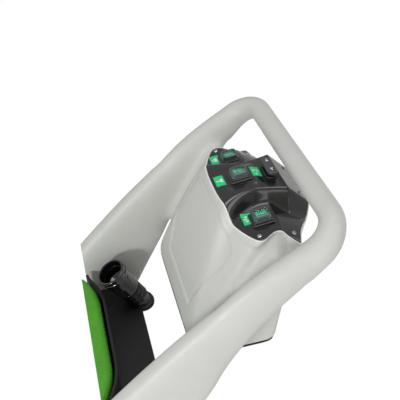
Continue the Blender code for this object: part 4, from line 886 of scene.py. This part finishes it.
def make_tank_cover():
    """Green cover: a wall swept across the machine that rolls over into the lid, in even thickness."""
    x = np.linspace(-TANK_HALF_WIDTH, TANK_HALF_WIDTH, 91)
    swept = (np.abs(x) - TANK_SWEEP_START) / (TANK_HALF_WIDTH - TANK_SWEEP_START)
    forward = TANK_SWEEP * np.clip(swept, 0, 1) ** 2
    low, high = -BAR_HEIGHT + DECK_THICKNESS + GAP, -BAR_HEIGHT + TANK_TOP

    def shell(thickness):
        """Rows from the foot up the wall, round the edge and forward over the lid."""
        rows = [(t, thickness) for t in np.linspace(low, high - TANK_EDGE, 12)]
        wall = [np.column_stack([x, TANK_BACK + forward + inset, np.full(len(x), z)]) for z, inset in rows]
        for a in np.linspace(0, math.pi / 2, 14)[1:]:
            radius = TANK_EDGE - thickness
            y = TANK_BACK + forward + TANK_EDGE - radius * math.cos(a)
            z = high - TANK_EDGE + radius * math.sin(a)
            wall.append(np.column_stack([x, np.minimum(y, TANK_FRONT - 0.5), np.full(len(x), z)]))
        wall.append(np.column_stack([x, np.full(len(x), TANK_FRONT), np.full(len(x), high - thickness)]))
        return wall

    grid = np.array(shell(0.0) + shell(TANK_WALL)[::-1])
    cover = surface("tank_lid_edge", np.concatenate([grid, grid[:1]]), wrap=False, ends=(False, False),
                    material=GREEN_TANK, sharp=50)
    seal = bmesh.new()
    seal.from_mesh(cover.data)
    bmesh.ops.holes_fill(seal, edges=[e for e in seal.edges if e.is_boundary])
    bmesh.ops.recalc_face_normals(seal, faces=seal.faces)
    seal.to_mesh(cover.data)
    seal.free()
    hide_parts("tank_cover")


def dress_nodes():
    """Finishes for the CAD pieces that stay as they are."""
    finishes = [("deck", DECK_BLACK), ("service_cover", DECK_BLACK), ("hose_spigot", BLACK_NYLON),
                ("relay_board", BOARD_GREEN), ("wire_connector", BLACK_NYLON)]
    finishes += [(f"board_post_{side}{row}", BLACK_NYLON) for side in "lr" for row in "12"]
    finishes += [(f"brass_insert_{side}{row}", BRASS) for side in "lr" for row in "123"]
    finishes += [(f"wires_{name}", BRAID_BLACK) for name in ("front", "left", "right", "rear")]
    for node, material in finishes:
        NODES[node].data.materials.clear()
        NODES[node].data.materials.append(material)


# ---- floor, light and camera ---------------------------------------------------------------------
def seen_directly(tree):
    """One where the camera looks straight or through glass, nought for light on other surfaces."""
    path = add(tree, "ShaderNodeLightPath")
    return add(tree, "ShaderNodeMath", {"operation": "MAXIMUM"},
               {0: path.outputs["Is Camera Ray"], 1: path.outputs["Is Transmission Ray"]}).outputs[0]


def make_stage():
    """Plain pale floor that stays white to the camera and keeps a soft shadow, under soft lamps."""
    bpy.ops.mesh.primitive_plane_add(size=30, location=(0, 0, -0.0005))
    floor = bpy.context.object
    floor.name = "floor"
    material = bpy.data.materials.new("pale_paper")
    material.use_nodes = True
    tree = material.node_tree
    shader = tree.nodes["Principled BSDF"]
    shader.inputs["Base Color"].default_value = srgb("F5F5F3")
    shader.inputs["Roughness"].default_value = 0.9
    share = add(tree, "ShaderNodeMath", {"operation": "MULTIPLY", 1: 0.92}, {0: seen_directly(tree)})
    white = add(tree, "ShaderNodeEmission", {"Color": (1, 1, 1, 1), "Strength": 1.06})
    mixed = add(tree, "ShaderNodeMixShader", None, {0: share.outputs[0], 1: shader.outputs[0],
                                                    2: white.outputs[0]})
    tree.links.new(mixed.outputs[0], tree.nodes["Material Output"].inputs["Surface"])
    floor.data.materials.append(material)

    world = bpy.data.worlds.new("studio")
    bpy.context.scene.world = world
    world.use_nodes = True
    tree = world.node_tree
    dim = add(tree, "ShaderNodeBackground", {"Color": (1, 1, 1, 1), "Strength": 0.38})
    white = add(tree, "ShaderNodeBackground", {"Color": (1, 1, 1, 1), "Strength": 1.0})
    mixed = add(tree, "ShaderNodeMixShader", None, {0: seen_directly(tree), 1: dim.outputs[0],
                                                    2: white.outputs[0]})
    tree.links.new(mixed.outputs[0], tree.nodes["World Output"].inputs["Surface"])
    for name, place, size, power in LAMPS:
        data = bpy.data.lights.new(name, "AREA")
        data.shape = "SQUARE"
        data.size = size
        data.energy = power
        lamp = bpy.data.objects.new(name, data)
        lamp.location = place
        lamp.rotation_euler = (LAMP_AIM - Vector(place)).to_track_quat("-Z", "Y").to_euler()
        bpy.context.scene.collection.objects.link(lamp)


def make_camera():
    """Camera at the photographer's place: right, up and backward axes as solved from the picture."""
    right = Vector((-0.2659, -0.9640, 0.0))
    up = Vector((0.6161, -0.1700, 0.7690))
    back = Vector((-0.7414, 0.2045, 0.6392))
    data = bpy.data.cameras.new("camera")
    data.sensor_width = 36.0
    data.lens = 52.2
    camera = bpy.data.objects.new("camera", data)
    turn = Matrix((right, up, back)).transposed().to_4x4()
    camera.matrix_world = Matrix.Translation((-0.7277, 0.0470, 0.9948)) @ turn
    bpy.context.scene.collection.objects.link(camera)
    bpy.context.scene.camera = camera


make_body()
make_rim()
make_panel()
for switch, switch_x, switch_y in SWITCHES:
    seat = seat_frame(switch_x, switch_y)
    make_switch_housing(switch, seat)
    make_rocker(switch, seat)
    make_cap(switch, seat)
make_direction_housing()
make_paddle()
make_labels()
make_screws()
make_hose()
make_tank_cover()
dress_nodes()
make_stage()
make_camera()
bpy.context.scene.view_settings.view_transform = "Standard"
